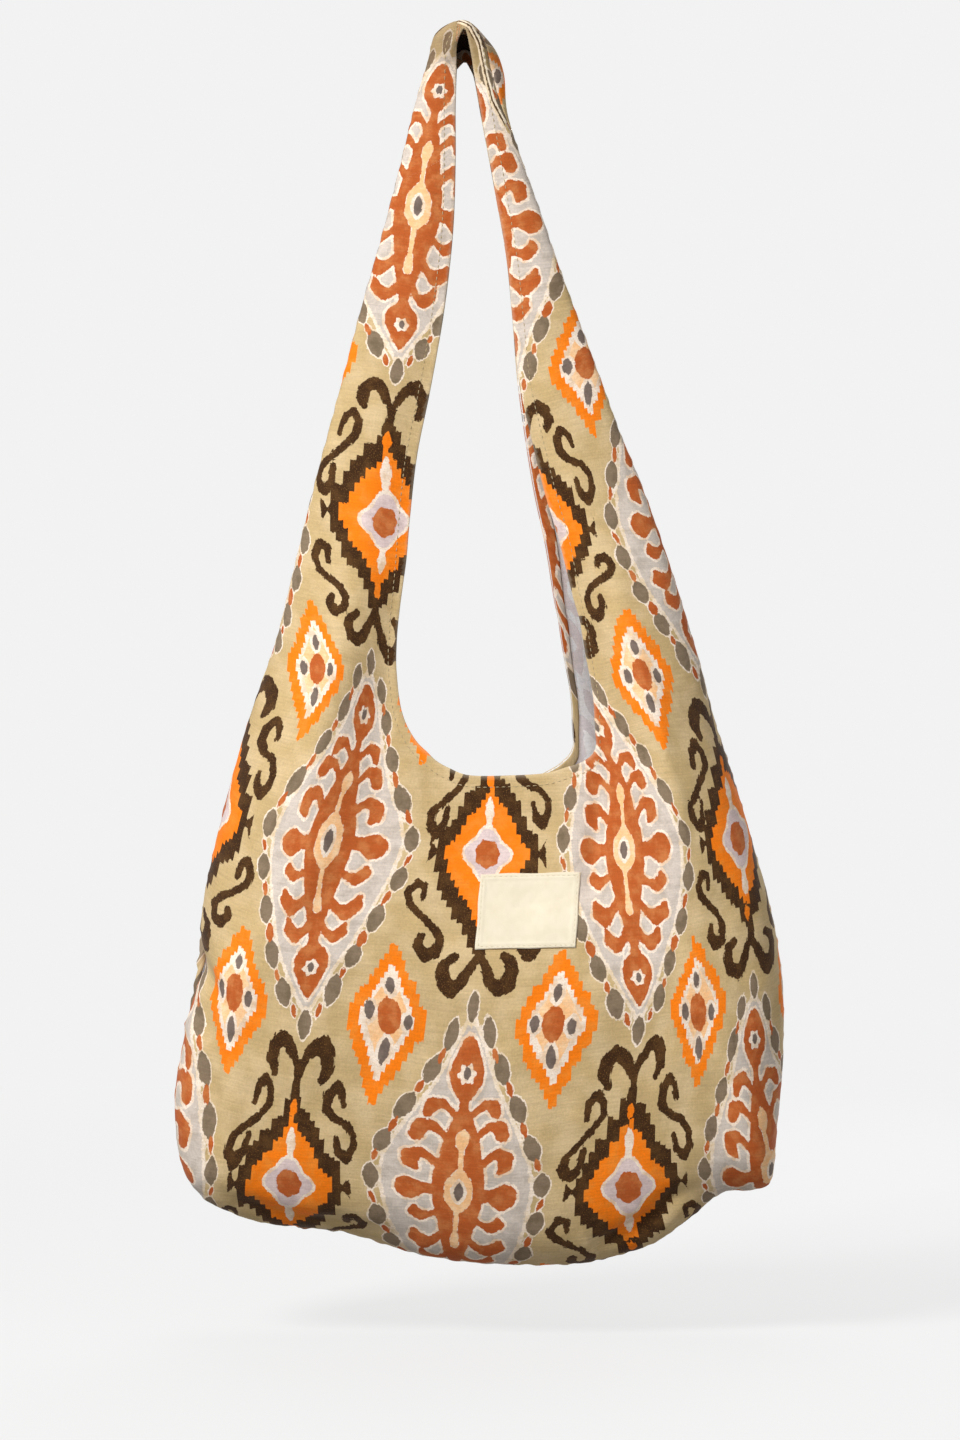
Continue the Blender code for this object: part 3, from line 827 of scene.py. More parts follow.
@dataclass
class PrintLay:
    """Where the print's columns and rows lie on each panel, from marks that can be told apart on the cloth.

    A mark is a place as the viewer sees it, then the column and the row that show there.
    """

    left_marks: tuple = (
        (418, 210, 0, -0.006), (438, 93, 0, -0.388), (403, 325, 0, 0.388), (398, 372, 0, 0.549),
        (365, 312, -0.25, 0.349), (434, 327, 0.25, 0.349), (374, 345, -0.155, 0.460), (421, 355, 0.155, 0.460),
        (384, 521, 0, 1), (392, 411, 0, 0.678), (379, 600, 0, 1.260), (320, 666, -0.5, 1.5),
        (322, 465, -0.405, 0.868), (333, 606, -0.310, 1.290),
    )
    right_marks: tuple = (
        (531, 217, 2.274, -0.009), (531, 248, 2.25, 0.09), (530, 278, 2.226, 0.192), (524, 305, 2.166, 0.269),
        (555, 288, 2.369, 0.224), (536, 330, 2.25, 0.349), (531, 367, 2.155, 0.460), (512, 157, 2.220, -0.226),
        (495, 137, 2.143, -0.299), (521, 187, 2.268, -0.128), (587, 361, 2.5, 0.5), (590, 531, 2.348, 1.0),
        (538, 405, 2.143, 0.594), (562, 427, 2.275, 0.684), (596, 480, 2.423, 0.862), (607, 552, 2.41, 1.098),
        (590, 612, 2.25, 1.30), (637, 523, 2.72, 0.991), (610, 515, 2.530, 0.961), (625, 555, 2.548, 1.096),
        (645, 590, 2.631, 1.224), (665, 625, 2.744, 1.349), (682, 655, 2.851, 1.460), (608, 472, 2.607, 0.836),
        (641, 675, 2.5, 1.5),
    )
    body_marks: tuple = (
        (370, 667, 0, 1.457), (363, 718, 0, 1.612), (329.5, 843, 0, 2), (311, 970, 0, 2.388), (306, 1025, 0, 2.549),
        (293, 840, -0.274, 1.991), (372, 845, 0.274, 1.991), (267, 824, -0.470, 1.961), (410, 840, 0.470, 1.961),
        (264, 910, -0.369, 2.224), (374, 924, 0.369, 2.224), (233, 996, -0.5, 2.5), (387, 1015, 0.5, 2.5),
        (290, 1181, 0, 3), (298, 1080, 0, 2.678), (485, 853, 1, 2), (247, 812, -0.685, 1.97), (246, 862, -0.589, 2.10),
        (207, 1172, -0.530, 2.961), (206, 1115, -0.607, 2.836), (622, 850, 2, 2), (639, 978, 2, 2.388),
        (638, 1032, 2, 2.549), (592, 848, 1.726, 1.991), (657, 845, 2.274, 1.991), (568, 842, 1.530, 1.961),
        (690, 835, 2.470, 1.961), (602, 970, 1.744, 2.349), (663, 967, 2.256, 2.349), (554, 1022, 1.5, 2.5),
        (700, 1004, 2.5, 2.5), (736, 835, 3, 2), (740, 967, 2.857, 2.409), (626, 1187, 2, 3), (633, 1080, 2, 2.678),
        (755, 988, 3, 2.457), (752, 1040, 3, 2.612), (738, 1178, 2.720, 2.991), (713, 1128, 2.607, 2.836),
        (722, 1090, 2.702, 2.722), (458, 1194, 1, 3), (468, 1075, 1, 2.612), (472, 1012, 1, 2.457),
        (405, 1187, 0.720, 2.991), (503, 1198, 1.280, 2.991), (545, 1185, 1.470, 2.961), (377, 1217, 0.548, 3.096),
        (383, 1142, 0.607, 2.836), (478, 958, 1, 2.31),
    )
    reach: float = 0.45
    smoothing: float = 4e-3
    seen_from: tuple = (0.0087, -2.8, -0.399)
    back_shift: float = 1.0
    strap_drop: float = 0.431
    parting: float = -0.004  # where the two halves' print parts at the crown, across
    parting_drift: float = 0.0218  # how far that place moves across down to the mouth's lower end
    parting_width: float = 0.0015
    widening: float = 0.11  # the parting widens by this below the mouth, from this share of the strap's drop
    widens_from: float = 0.93
    widens_below: float = 4.0

    def fitted(self, grid: ClothGrid, side: Side) -> Callable[[Array], Array]:
        """The way from the flat cloth to columns and rows.

        Args:
            grid: The panel's grid.
            side: Front or back.

        Returns:
            A function from flat points to columns and rows.
        """
        eye = Vector(self.seen_from)
        if side is Side.BACK:
            eye.y = -eye.y
        halves = []
        for marks in (self.left_marks + self.body_marks, self.right_marks + self.body_marks):
            places = [pixel(*mark[:2]) for mark in marks]
            spots = [grid.flat_where_seen(eye, Vector((x, 0.0, z))) for x, z in places]
            halves.append(self._solve(np.array(spots), np.array([mark[2:] for mark in marks], float)))
        shift = self.back_shift if side is Side.BACK else 0.0

        def cells_at(flat: Array) -> Array:
            """Columns and rows at flat points, the left half's blended into the right half's at the parting.

            Args:
                flat: Flat points, one a row.

            Returns:
                Their columns and rows.
            """
            down = np.clip(-flat[:, 1] / self.strap_drop, 0, 1)
            middle = self.parting + self.parting_drift * down
            below = (down - self.widens_from) / (1 - self.widens_from)
            below = below + (-flat[:, 1] - self.strap_drop).clip(0) * self.widens_below
            spread = self.parting_width + self.widening * np.clip(below, 0, 1)
            share = np.clip((flat[:, 0] - middle) / spread * 0.5 + 0.5, 0, 1)
            share = (share * share * (3 - 2 * share))[:, None]
            return halves[0](flat) * (1 - share) + halves[1](flat) * share + np.array([shift, 0.0])

        return cells_at

    def _solve(self, spots: Array, cells: Array) -> Callable[[Array], Array]:
        """An even stretch over all marks, with the rest made up near each mark.

        Args:
            spots: The marks on the flat cloth.
            cells: Their columns and rows.

        Returns:
            A function from flat points to columns and rows.
        """

        def even(points: Array) -> Array:
            """The points with a 1 beside each, for an even stretch."""
            return np.concatenate([points, np.ones((len(points), 1))], axis=1)

        def pull(points: Array) -> Array:
            """How strongly each mark pulls at each point."""
            away = np.linalg.norm(points[:, None] - spots[None], axis=2) / self.reach
            return np.clip(1 - away, 0, 1) ** 4 * (4 * away + 1)

        stretch = np.linalg.lstsq(even(spots), cells, rcond=None)[0]
        kept = pull(spots) + np.eye(len(spots)) * self.smoothing
        weights = np.linalg.solve(kept, cells - even(spots) @ stretch)
        return lambda points: even(points) @ stretch + pull(points) @ weights


# ---------------------------------------------------------------- finishes


def linear(colour: str) -> tuple[float, float, float, float]:
    """An sRGB hex colour as linear red, green, blue and alpha."""
    parts = [int(colour[k : k + 2], 16) / 255 for k in (1, 3, 5)]
    return (*(p / 12.92 if p <= 0.04045 else ((p + 0.055) / 1.055) ** 2.4 for p in parts), 1.0)


def add_node(tree: bpy.types.NodeTree, kind: str, inputs: dict | None = None, **settings: Any) -> bpy.types.Node:
    """Adds a node with its settings and links.

    Args:
        tree: The tree it goes into.
        kind: The node's type.
        inputs: Values or source sockets for its inputs, by name or number.
        settings: The node's own settings.

    Returns:
        The node.
    """
    node = tree.nodes.new(kind)
    for name, value in settings.items():
        setattr(node, name, value)
    for key, value in (inputs or {}).items():
        if isinstance(value, bpy.types.NodeSocket):
            tree.links.new(value, node.inputs[key])
        else:
            node.inputs[key].default_value = value
    return node


def fresh_material(name: str) -> tuple[bpy.types.Material, bpy.types.NodeTree, bpy.types.Node]:
    """A new material, its tree and its main shader.

    Args:
        name: Its name.

    Returns:
        The material, its tree and its main shader.
    """
    made = bpy.data.materials.new(name)
    made.use_nodes = True
    return made, made.node_tree, made.node_tree.nodes["Principled BSDF"]


@dataclass
class NodeDesk:
    """Adds nodes to one tree and hands back their output sockets."""

    tree: bpy.types.NodeTree

    def math(self, operation: str, *values: Any, clamp: bool = False) -> bpy.types.NodeSocket:
        """A step of arithmetic on numbers."""
        inputs = dict(enumerate(values))
        return add_node(self.tree, "ShaderNodeMath", inputs, operation=operation, use_clamp=clamp).outputs[0]

    def faded(self, value: Any, factor: float) -> Any:
        """A value made weaker, or the value itself where the factor is 1."""
        return value if factor == 1.0 else self.math("MULTIPLY", value, factor)

    def mixed(self, share: Any, under: Any, over: Any, kind: str = "MIX") -> bpy.types.NodeSocket:
        """One colour over another by a share, or their product where the kind says so."""
        inputs = {0: share, 6: under, 7: over}
        return add_node(self.tree, "ShaderNodeMix", inputs, data_type="RGBA", blend_type=kind).outputs[2]

    def swung(self, value: Any, by: float, middle: float = 0.0) -> bpy.types.NodeSocket:
        """A share from 0 to 1 that swings a number this far to both sides of its middle."""
        return self.math("MULTIPLY_ADD", value, 2 * by, middle - by)

    def noise(self, place: Any, scale: float, detail: float = 2.0, rough: float = 0.5) -> bpy.types.NodeSocket:
        """Soft noise over a place, from 0 to 1."""
        inputs = {"Vector": place, "Scale": scale, "Detail": detail, "Roughness": rough}
        return add_node(self.tree, "ShaderNodeTexNoise", inputs).outputs["Fac"]

    def between(self, value: Any, low: float, high: float, to_low: float = 0.0) -> bpy.types.NodeSocket:
        """A value eased from one number to another, as a share that runs from to_low to 1."""
        inputs = {"Value": value, 1: low, 2: high, 3: to_low, 4: 1.0}
        return add_node(self.tree, "ShaderNodeMapRange", inputs, interpolation_type="SMOOTHSTEP").outputs[0]

    def kept(self, name: str, output: str = "Fac") -> bpy.types.NodeSocket:
        """Values that the mesh keeps under a name."""
        return add_node(self.tree, "ShaderNodeAttribute", attribute_name=name).outputs[output]

    def own_place(self) -> bpy.types.NodeSocket:
        """The place on the object, in its own metres."""
        return add_node(self.tree, "ShaderNodeTexCoord").outputs["Object"]

    def parts(self, vector: Any) -> bpy.types.NodeOutputs:
        """A vector's three parts."""
        return add_node(self.tree, "ShaderNodeSeparateXYZ", {0: vector}).outputs

    def stretched(self, vector: Any, by: tuple[float, float, float]) -> bpy.types.NodeSocket:
        """A vector multiplied part by part."""
        return add_node(self.tree, "ShaderNodeVectorMath", {0: vector, 1: by}, operation="MULTIPLY").outputs[0]

    def chance(self, *parts: Any) -> bpy.types.NodeSocket:
        """A number from 0 to 1 that is the same wherever the parts are the same."""
        spot = add_node(self.tree, "ShaderNodeCombineXYZ", dict(enumerate(parts))).outputs[0]
        return add_node(self.tree, "ShaderNodeTexWhiteNoise", {"Vector": spot}).outputs["Value"]

    def threads(self, value: Any, spacing: float) -> bpy.types.NodeSocket:
        """Round ridges side by side, one for each thread."""
        wave = self.math("SINE", self.math("MULTIPLY", value, math.tau / (2 * spacing)))
        return self.math("ABSOLUTE", wave)

    def bump(self, height: Any, strength: float, metres: float, **more: Any) -> bpy.types.NodeSocket:
        """A normal raised by a height, on top of another normal where one is given."""
        inputs = {"Strength": strength, "Distance": metres, "Height": height, **more}
        return add_node(self.tree, "ShaderNodeBump", inputs).outputs[0]

    def looked_at(self) -> bpy.types.NodeSocket:
        """1 where the camera, a mirror or glass looks straight at it, 0 where it only gives light.

        Returns:
            The 1 or 0.
        """
        rays = add_node(self.tree, "ShaderNodeLightPath").outputs
        first = self.math("MAXIMUM", rays["Is Camera Ray"], rays["Is Glossy Ray"])
        return self.math("MAXIMUM", first, rays["Is Transmission Ray"])


class Edge(Enum):
    """How the edge of a dye runs on the cloth."""

    FINE = "close to the drawn line"
    STRANDS = "in steps from strand to strand"
    WASHED = "wandering and soft"


@dataclass(frozen=True)
class Dye:
    """One colour of the print.

    Attributes:
        name: The field that says where it lies.
        full: Its colour where it took well.
        worn: Its colour where it is thin.
        edge: How its edge runs.
        blotches: How much the large blotches thin it.
        flecks: How much the small flecks thin it.
        strong: Whether it shows through on the reverse.
    """

    name: str
    full: str
    worn: str
    edge: Edge = Edge.FINE
    blotches: float = 1.0
    flecks: float = 0.0
    strong: bool = False


@dataclass(frozen=True)
class SteppedMotif:
    """A diamond or lozenge drawn strip by strip, in the print's units, so that its corners stay sharp.

    Attributes:
        strip: Width of one strip.
        peak: Half its height in the middle.
        slope: How much lower it gets by each unit to the side.
        widest: Half its width.
        uneven: How much a strip may be taller than its neighbours.
    """

    strip: float
    peak: float
    slope: float
    widest: float
    uneven: float


@dataclass
class CanvasDesk(NodeDesk):
    """The nodes of the printed canvas, which works in the cloth's own millimetres across and down."""

    WANDER: ClassVar[tuple] = ((0.55, 3.0, 0.6), 1.2)  # the noise, and how far it carries an edge in millimetres
    TEETH: ClassVar[tuple] = (1.3, 2.6, 0.34)  # small steps of an edge: their width, height and depth
    STRANDS: ClassVar[tuple] = (3.6, 6.5, 0.62)  # the coarse steps, in the same way
    FINE_WANDER: ClassVar[float] = 0.45
    WASHED_WANDER: ClassVar[float] = 1.1
    SOFT: ClassVar[float] = 0.2  # half the width over which an edge fades
    WASHED_SOFT: ClassVar[float] = 0.3
    PEACH: ClassVar[tuple] = (-1.75, 43.0)  # how the lozenges' peach field narrows to the side, and half its height
    ABOVE_MIDDLE: ClassVar[float] = 1.5
    FAR: ClassVar[float] = 30.0

    pattern: IkatPrint

    def __post_init__(self) -> None:
        """Reads the cloth's coordinates and makes the ragged lines that the dyes' edges share."""
        self.cloth = self.kept("cloth_mm", "Vector")
        self.across, self.down = self.parts(self.cloth)[:2]
        self.wander = self.swung(self.noise(self.cloth, *self.WANDER[0]), self.WANDER[1])
        self.teeth = self.math("MULTIPLY", self.steps(*self.TEETH[:2]), self.TEETH[2])
        self.fine = self.math("MULTIPLY_ADD", self.wander, self.FINE_WANDER, self.teeth)
        self.coarse = self.math("MULTIPLY_ADD", self.steps(*self.STRANDS[:2]), self.STRANDS[2], self.fine)

    def steps(self, wide: float, tall: float) -> bpy.types.NodeSocket:
        """Steps along the warp: each strand's edge of the print lies a little higher or lower.

        Args:
            wide: A strand's width.
            tall: A step's height.

        Returns:
            Chance steps from -1 to 1.
        """
        strand = self.math("FLOOR", self.math("DIVIDE", self.across, wide))
        level = self.math("FLOOR", self.math("DIVIDE", self.math("MULTIPLY_ADD", strand, 2.37, self.down), tall))
        return self.swung(self.chance(strand, level), 1.0)

    def edge_of(self, depth: Any, edge: Edge) -> bpy.types.NodeSocket:
        """Where a dye lies, from 0 to 1, by its depth and by how its edge runs.

        Args:
            depth: How deep a point lies in the dye.
            edge: How its edge runs.

        Returns:
            The dye's share of the colour.
        """
        if edge is Edge.WASHED:
            ragged = self.math("MULTIPLY_ADD", self.wander, self.WASHED_WANDER, self.math("ADD", depth, self.teeth))
            return self.between(ragged, -self.WASHED_SOFT, self.WASHED_SOFT)
        ragged = self.math("ADD", depth, self.coarse if edge is Edge.STRANDS else self.fine)
        return self.between(ragged, -self.SOFT, self.SOFT)

    def stepped_fields(self, diamonds: dict[str, SteppedMotif], lozenges: dict[str, SteppedMotif]) -> dict[str, Any]:
        """Where the stepped motifs lie, as fields to add to those of the mesh.

        Args:
            diamonds: The large motifs, by the dye that fills them.
            lozenges: The small ones between them.

        Returns:
            How deep a point lies in each dye, in millimetres.
        """
        unit, wide, tall = self.pattern.unit, self.pattern.column, self.pattern.row
        across, down = (self.math("DIVIDE", value, unit) for value in (self.across, self.down))
        column = self.math("ROUND", self.math("DIVIDE", across, wide))
        shifted = self.math("MULTIPLY_ADD", self.math("ADD", column, 1.0), tall, down)
        diamond_y = self.math("WRAP", shifted, tall, -tall)
        diamond_x = self.math("MULTIPLY_ADD", column, -wide, across)
        diamond_at = (diamond_x, diamond_y, self.math("SUBTRACT", shifted, diamond_y))
        lozenge_x = self.math("WRAP", self.math("SUBTRACT", across, wide / 2), wide / 2, -wide / 2)
        lozenge_y = self.math("WRAP", self.math("SUBTRACT", down, tall / 2), tall / 2, -tall / 2)
        lozenge_at = (lozenge_x, lozenge_y, self.math("SUBTRACT", down, lozenge_y))
        found = {dye: self._stepped(diamond_at, column, motif) for dye, motif in diamonds.items()}
        for dye, motif in lozenges.items():
            field_there = self._stepped(lozenge_at, column, motif)
            found[dye] = self.math("MAXIMUM", found[dye], field_there) if dye in found else field_there
        # peach fills the lozenges up to the rims of their seeds
        peach = self.math("MULTIPLY_ADD", self.math("ABSOLUTE", lozenge_x), *self.PEACH)
        peach = self.math("MULTIPLY", self.math("SUBTRACT", peach, self.math("ABSOLUTE", lozenge_y)), unit / 2)
        found["peach"] = self.math("MINIMUM", peach, self.math("MULTIPLY", self.kept("seed_rim"), -1.0))
        return found

    def _stepped(self, place: tuple, column: Any, motif: SteppedMotif) -> bpy.types.NodeSocket:
        """How deep a point lies in a stepped motif.

        Args:
            place: Across and down from the motif's middle, and a number that differs from motif to motif.
            column: The print's column.
            motif: The motif's steps.

        Returns:
            The depth in millimetres.
        """
        x, y, number = place
        y = self.math("SUBTRACT", y, self.ABOVE_MIDDLE)
        which = self.math("FLOOR", self.math("DIVIDE", x, motif.strip))
        luck = self.chance(self.math("MULTIPLY_ADD", number, 0.37, which), self.math("SIGN", y), column)
        middle = self.math("ABSOLUTE", self.math("MULTIPLY_ADD", which, motif.strip, motif.strip / 2))
        reach = self.math("MULTIPLY_ADD", middle, -motif.slope, motif.peak)
        reach = self.math("MULTIPLY_ADD", luck, motif.uneven, reach)
        inside = self.swung(self.math("LESS_THAN", middle, motif.widest), self.FAR)
        depth = self.math("MINIMUM", self.math("SUBTRACT", reach, self.math("ABSOLUTE", y)), inside)
        return self.math("MULTIPLY", depth, self.pattern.unit)


@dataclass(frozen=True)
class PrintedCanvas:
    """Cotton canvas with an ikat-style pigment print: matt, slightly hairy, with a plain weave one can feel.

    The print's edges run in steps along the warp, as dyed threads do, and thicker weft threads show as slubs. The
    dyes are laid on each other in the order of their table.
    """

    name: str = "printed_cotton_canvas"
    reverse: bool = False
    pattern: IkatPrint = IkatPrint()
    roughness: float = 0.86
    sheen: float = 0.05
    ground: str = "#C3A877"
    ground_worn: str = "#D2B88C"
    dyes: tuple = (
        Dye("cream_a", "#F5E4D2", "#DFC7A4", flecks=1.0),
        Dye("lilac", "#D2C5B9", "#C1B4A7", Edge.WASHED),
        Dye("taupe", "#88755F", "#76654F", strong=True),
        Dye("brown", "#382008", "#75522A", Edge.STRANDS, 0.3, 0.9, strong=True),
        Dye("orange", "#F77E0C", "#EE8A2C", Edge.STRANDS, 0.8, strong=True),
        Dye("cream_b", "#F7E6D4", "#E3C4A4", flecks=1.0),
        Dye("mauve", "#DFCAC6", "#CFB9B6"),
        Dye("peach", "#F5BF88", "#F6D0A4"),
        Dye("rust", "#B65A26", "#C87A44", blotches=0.8, strong=True),
        Dye("core", "#7B6B61", "#6A5B52"),
    )
    diamonds: tuple = (
        ("brown", SteppedMotif(6.2, 94.0, 1.47, 57.0, 14.0)),
        ("orange", SteppedMotif(5.2, 68.0, 1.46, 46.0, 9.0)),
    )
    lozenges: tuple = (
        ("orange", SteppedMotif(4.4, 72.0, 1.74, 39.0, 8.0)),
        ("cream_b", SteppedMotif(3.5, 52.0, 1.80, 28.5, 4.5)),
    )
    # painted along the rolled seam: a painted shade in the groove, then two painted highlights on the raised edges
    ridges: tuple = ((-1.0, 1.1, "#5A4228"), (0.0, 0.55, "#F2E2C8"), (-2.1, 0.55, "#EBD5B4"))
    bare_thread: str = "#E9D8BC"
    # painted shade: the printed face over the strap's crown is darkened in colour between these heights
    painted_crown_shade: str = "#654B2E"
    painted_crown_shade_from: tuple = (-0.030, -0.010)
    # painted shade on the unprinted side where the strap is pinched over the hook, between these heights
    dark: str = "#3A2C22"
    dark_from: tuple = (-0.045, -0.024)
    reverse_ground: str = "#FBF5F6"
    reverse_shadow: str = "#C6BBC1"
    thread_mm: float = 0.9  # the real threads stand 0.5 mm apart, too fine to show, so they are drawn coarser
    slub_mm: float = 1.1
    # noises, each by its scale to the millimetre, its detail and its roughness, with the range that is used of some
    uneven_noise: tuple = (0.05, 3.0)
    uneven_range: tuple = (0.35, 0.7)
    blotch_noise: tuple = (0.11, 4.0, 0.6)
    blotch_range: tuple = (0.42, 0.66)
    fleck_noise: tuple = (1.3, 2.0, 0.6)
    fleck_range: tuple = (0.56, 0.66)
    cloud_noise: tuple = (0.75, 3.0, 0.7)
    dent_noise: tuple = (0.07, 3.0, 0.55)
    # how far slubs, streaks and clouds swing the tone, and the middle of it
    slub_tone: tuple = (0.22, 0.99)
    streak_tone: tuple = (0.10, 1.0)
    cloud_tone: tuple = (0.25, 1.0)

    def make(self) -> bpy.types.Material:
        """The material, which reads the print's fields and the cloth's own coordinates from the mesh.

        Returns:
            The material.
        """
        made, tree, shader = fresh_material(self.name + ("_reverse" if self.reverse else ""))
        desk = CanvasDesk(tree, self.pattern)
        high = desk.parts(desk.own_place())[2]
        slub = desk.noise(desk.stretched(desk.cloth, (0.045, 1 / self.slub_mm, 1.0)), 1.0, 3.0, 0.6)
        printed, strong = self._dyed(desk)
        faced = self._reversed(desk, printed, strong, high) if self.reverse else self._painted_crown_shade(desk, printed, high)
        tree.links.new(self._toned(desk, faced, slub), shader.inputs["Base Color"])
        for socket, value in (("Roughness", self.roughness), ("IOR", 1.5), ("Specular IOR Level", 0.18),
                              ("Sheen Weight", self.sheen), ("Sheen Roughness", 0.5)):
            shader.inputs[socket].default_value = value
        if self.reverse:
            # thin canvas lets some light through from its other face, which lifts the inside of the bag
            tree.links.new(desk.between(high, *self.dark_from[::-1]), shader.inputs["Subsurface Weight"])
            shader.inputs["Subsurface Radius"].default_value = (1.0, 0.85, 0.75)
            shader.inputs["Subsurface Scale"].default_value = 0.006
        tree.links.new(self._woven(desk, slub), shader.inputs["Normal"])
        return made

    def _dyed(self, desk: CanvasDesk) -> tuple[Any, Any]:
        """The print's colour, and where a dye lies that shows through on the reverse.

        Args:
            desk: The material's nodes.

        Returns:
            The colour, and a share from 0 to 1.
        """
        # blotches of thinner dye, and flecks where the warp shows through
        blotch = desk.between(desk.noise(desk.cloth, *self.blotch_noise), *self.blotch_range)
        fleck = desk.between(desk.noise(desk.cloth, *self.fleck_noise), *self.fleck_range)
        stepped = desk.stepped_fields(dict(self.diamonds), dict(self.lozenges))
        uneven = desk.between(desk.noise(desk.cloth, *self.uneven_noise), *self.uneven_range)
        colour, strong = desk.mixed(uneven, linear(self.ground), linear(self.ground_worn)), 0.0
        for dye in self.dyes:
            depth = desk.kept(dye.name)
            if dye.name in stepped:
                depth = desk.math("MAXIMUM", depth, stepped[dye.name])
            edge = desk.edge_of(depth, dye.edge)
            thin = desk.faded(blotch, dye.blotches)
            if dye.flecks:
                thin = desk.math("MAXIMUM", thin, desk.faded(fleck, dye.flecks))
            colour = desk.mixed(edge, colour, desk.mixed(thin, linear(dye.full), linear(dye.worn)))
            if dye.strong:
                strong = desk.math("MAXIMUM", strong, edge)
        return colour, strong

    def _painted_crown_shade(self, desk: CanvasDesk, printed: Any, high: Any) -> bpy.types.NodeSocket:
        """The printed face, with a painted shade that darkens the strap over its crown."""
        share = desk.math("MULTIPLY", desk.between(high, *self.painted_crown_shade_from), 0.5)
        return desk.mixed(share, printed, linear(self.painted_crown_shade))

    def _reversed(self, desk: CanvasDesk, printed: Any, strong: Any, high: Any) -> bpy.types.NodeSocket:
        """The unprinted side: the dye only shows through, and a painted shade darkens it where the strap is pinched.

        Args:
            desk: The material's nodes.
            printed: The printed face's colour.
            strong: Where strong dye lies.
            high: The height.

        Returns:
            The reverse's colour.
        """
        share = desk.math("MULTIPLY", strong, 0.6)
        pale = desk.mixed(share, linear(self.reverse_ground), linear(self.reverse_shadow))
        # the pale side with a little of the print, under a painted shade where the strap is pinched
        return desk.mixed(desk.between(high, *self.dark_from), desk.mixed(0.10, pale, printed), linear(self.dark))

    def _toned(self, desk: CanvasDesk, colour: Any, slub: Any) -> bpy.types.NodeSocket:
        """The colour with the tone of slubs and streaks, the wear of the edges, and painted highlights and painted
        shade on the seam's raised ridges.

        Args:
            desk: The material's nodes.
            colour: The plain colour.
            slub: How thick the weft is.

        Returns:
            The toned colour.
        """
        streak = desk.noise(desk.stretched(desk.cloth, (1.6, 0.16, 1.0)), 1.0, 3.0, 0.65)
        cloud = desk.noise(desk.cloth, *self.cloud_noise)
        tone = desk.math("MULTIPLY", desk.swung(slub, *self.slub_tone), desk.swung(streak, *self.streak_tone))
        tone = desk.math("MULTIPLY", tone, desk.swung(cloud, *self.cloud_tone))
        grey = add_node(desk.tree, "ShaderNodeCombineColor", dict.fromkeys(range(3), tone)).outputs[0]
        colour = desk.mixed(1.0, colour, grey, "MULTIPLY")
        wear = desk.math("MULTIPLY", desk.kept("wear"), 0.75, clamp=True)
        colour = desk.mixed(wear, colour, linear(self.bare_thread))
        # painted highlights on the two raised edges of the seam that is rolled to the front over the right shoulder,
        # with painted shade in the groove between them
        ridge = desk.kept("ridge")
        for middle, half, shade in self.ridges:
            away = desk.math("ABSOLUTE", desk.math("SUBTRACT", ridge, middle))
            away = desk.math("MULTIPLY_ADD", desk.teeth, 0.5, away)
            colour = desk.mixed(desk.between(away, half + 0.2, half - 0.2), colour, linear(shade))
        return colour

    def _woven(self, desk: CanvasDesk, slub: Any) -> bpy.types.NodeSocket:
        """The normal of a plain weave with the slubs standing proud, over soft dents in the cloth.

        Args:
            desk: The material's nodes.
            slub: How thick the weft is.

        Returns:
            The normal.
        """
        threads = [desk.threads(way, self.thread_mm) for way in (desk.down, desk.across)]
        weave = desk.math("MULTIPLY", desk.math("ADD", *threads), 0.5)
        height = desk.math("ADD", desk.math("MULTIPLY", weave, 0.35), desk.math("MULTIPLY", slub, 0.9))
        raised = desk.bump(height, 0.35, 0.0004)
        return desk.bump(desk.noise(desk.cloth, *self.dent_noise), 0.5, 0.0015, Normal=raised)


@dataclass(frozen=True)
class PlainCotton:
    """Undyed cotton tape or thread: cream, matt, with a fine even weave and a faint warm blotch."""

    name: str
    colour: str = "#EEE5CF"
    shade: str = "#E0D3B6"
    roughness: float = 0.82
    thread_mm: float = 0.7  # real label tape has 0.3 mm threads, drawn coarser so that they show
    depth_mm: float = 0.12

    def make(self) -> bpy.types.Material:
        """The material, woven in the object's own millimetres.

        Returns:
            The material.
        """
        made, tree, shader = fresh_material(self.name)
        desk = NodeDesk(tree)
        place = desk.stretched(desk.own_place(), (1000.0, 1000.0, 1000.0))
        colour = desk.mixed(desk.noise(place, 0.12, 4.0), linear(self.colour), linear(self.shade))
        tree.links.new(colour, shader.inputs["Base Color"])
        apart = desk.parts(place)
        weave = desk.math("ADD", *(desk.threads(apart[k], self.thread_mm) for k in (0, 2)))
        height = desk.math("MULTIPLY_ADD", desk.noise(place, 1.1, 3.0), 0.8, weave)
        tree.links.new(desk.bump(height, 0.4, self.depth_mm / 1000), shader.inputs["Normal"])
        for socket, value in (("Roughness", self.roughness), ("Specular IOR Level", 0.25), ("Sheen Weight", 0.1)):
            shader.inputs[socket].default_value = value
        return made


# ---------------------------------------------------------------- pieces


def piece_from_mesh(name: str, mesh: bmesh.types.BMesh, materials: Iterable[bpy.types.Material]) -> bpy.types.Object:
    """A smooth-shaded piece from a built mesh, in the scene.

    Args:
        name: The piece's name.
        mesh: Its mesh, which is used up.
        materials: Its finishes, by number.

    Returns:
        The piece.
    """
    data = bpy.data.meshes.new(name)
    mesh.to_mesh(data)
    mesh.free()
    data.shade_smooth()
    for finish in materials:
        data.materials.append(finish)
    made = bpy.data.objects.new(name, data)
    bpy.context.scene.collection.objects.link(made)
    return made


def skin(mesh: bmesh.types.BMesh, rows: Sequence[Sequence], around: bool) -> None:
    """Faces between rows of corners, each row running on into its own start where it goes around.

    Args:
        mesh: The mesh that gets the faces.
        rows: Rows of corners, all as long.
        around: Whether a row is a closed ring.
    """
    for here, after in zip(rows, rows[1:]):
        for k in range(len(here) if around else len(here) - 1):
            n = (k + 1) % len(here)
            mesh.faces.new((here[k], here[n], after[n], after[k]))


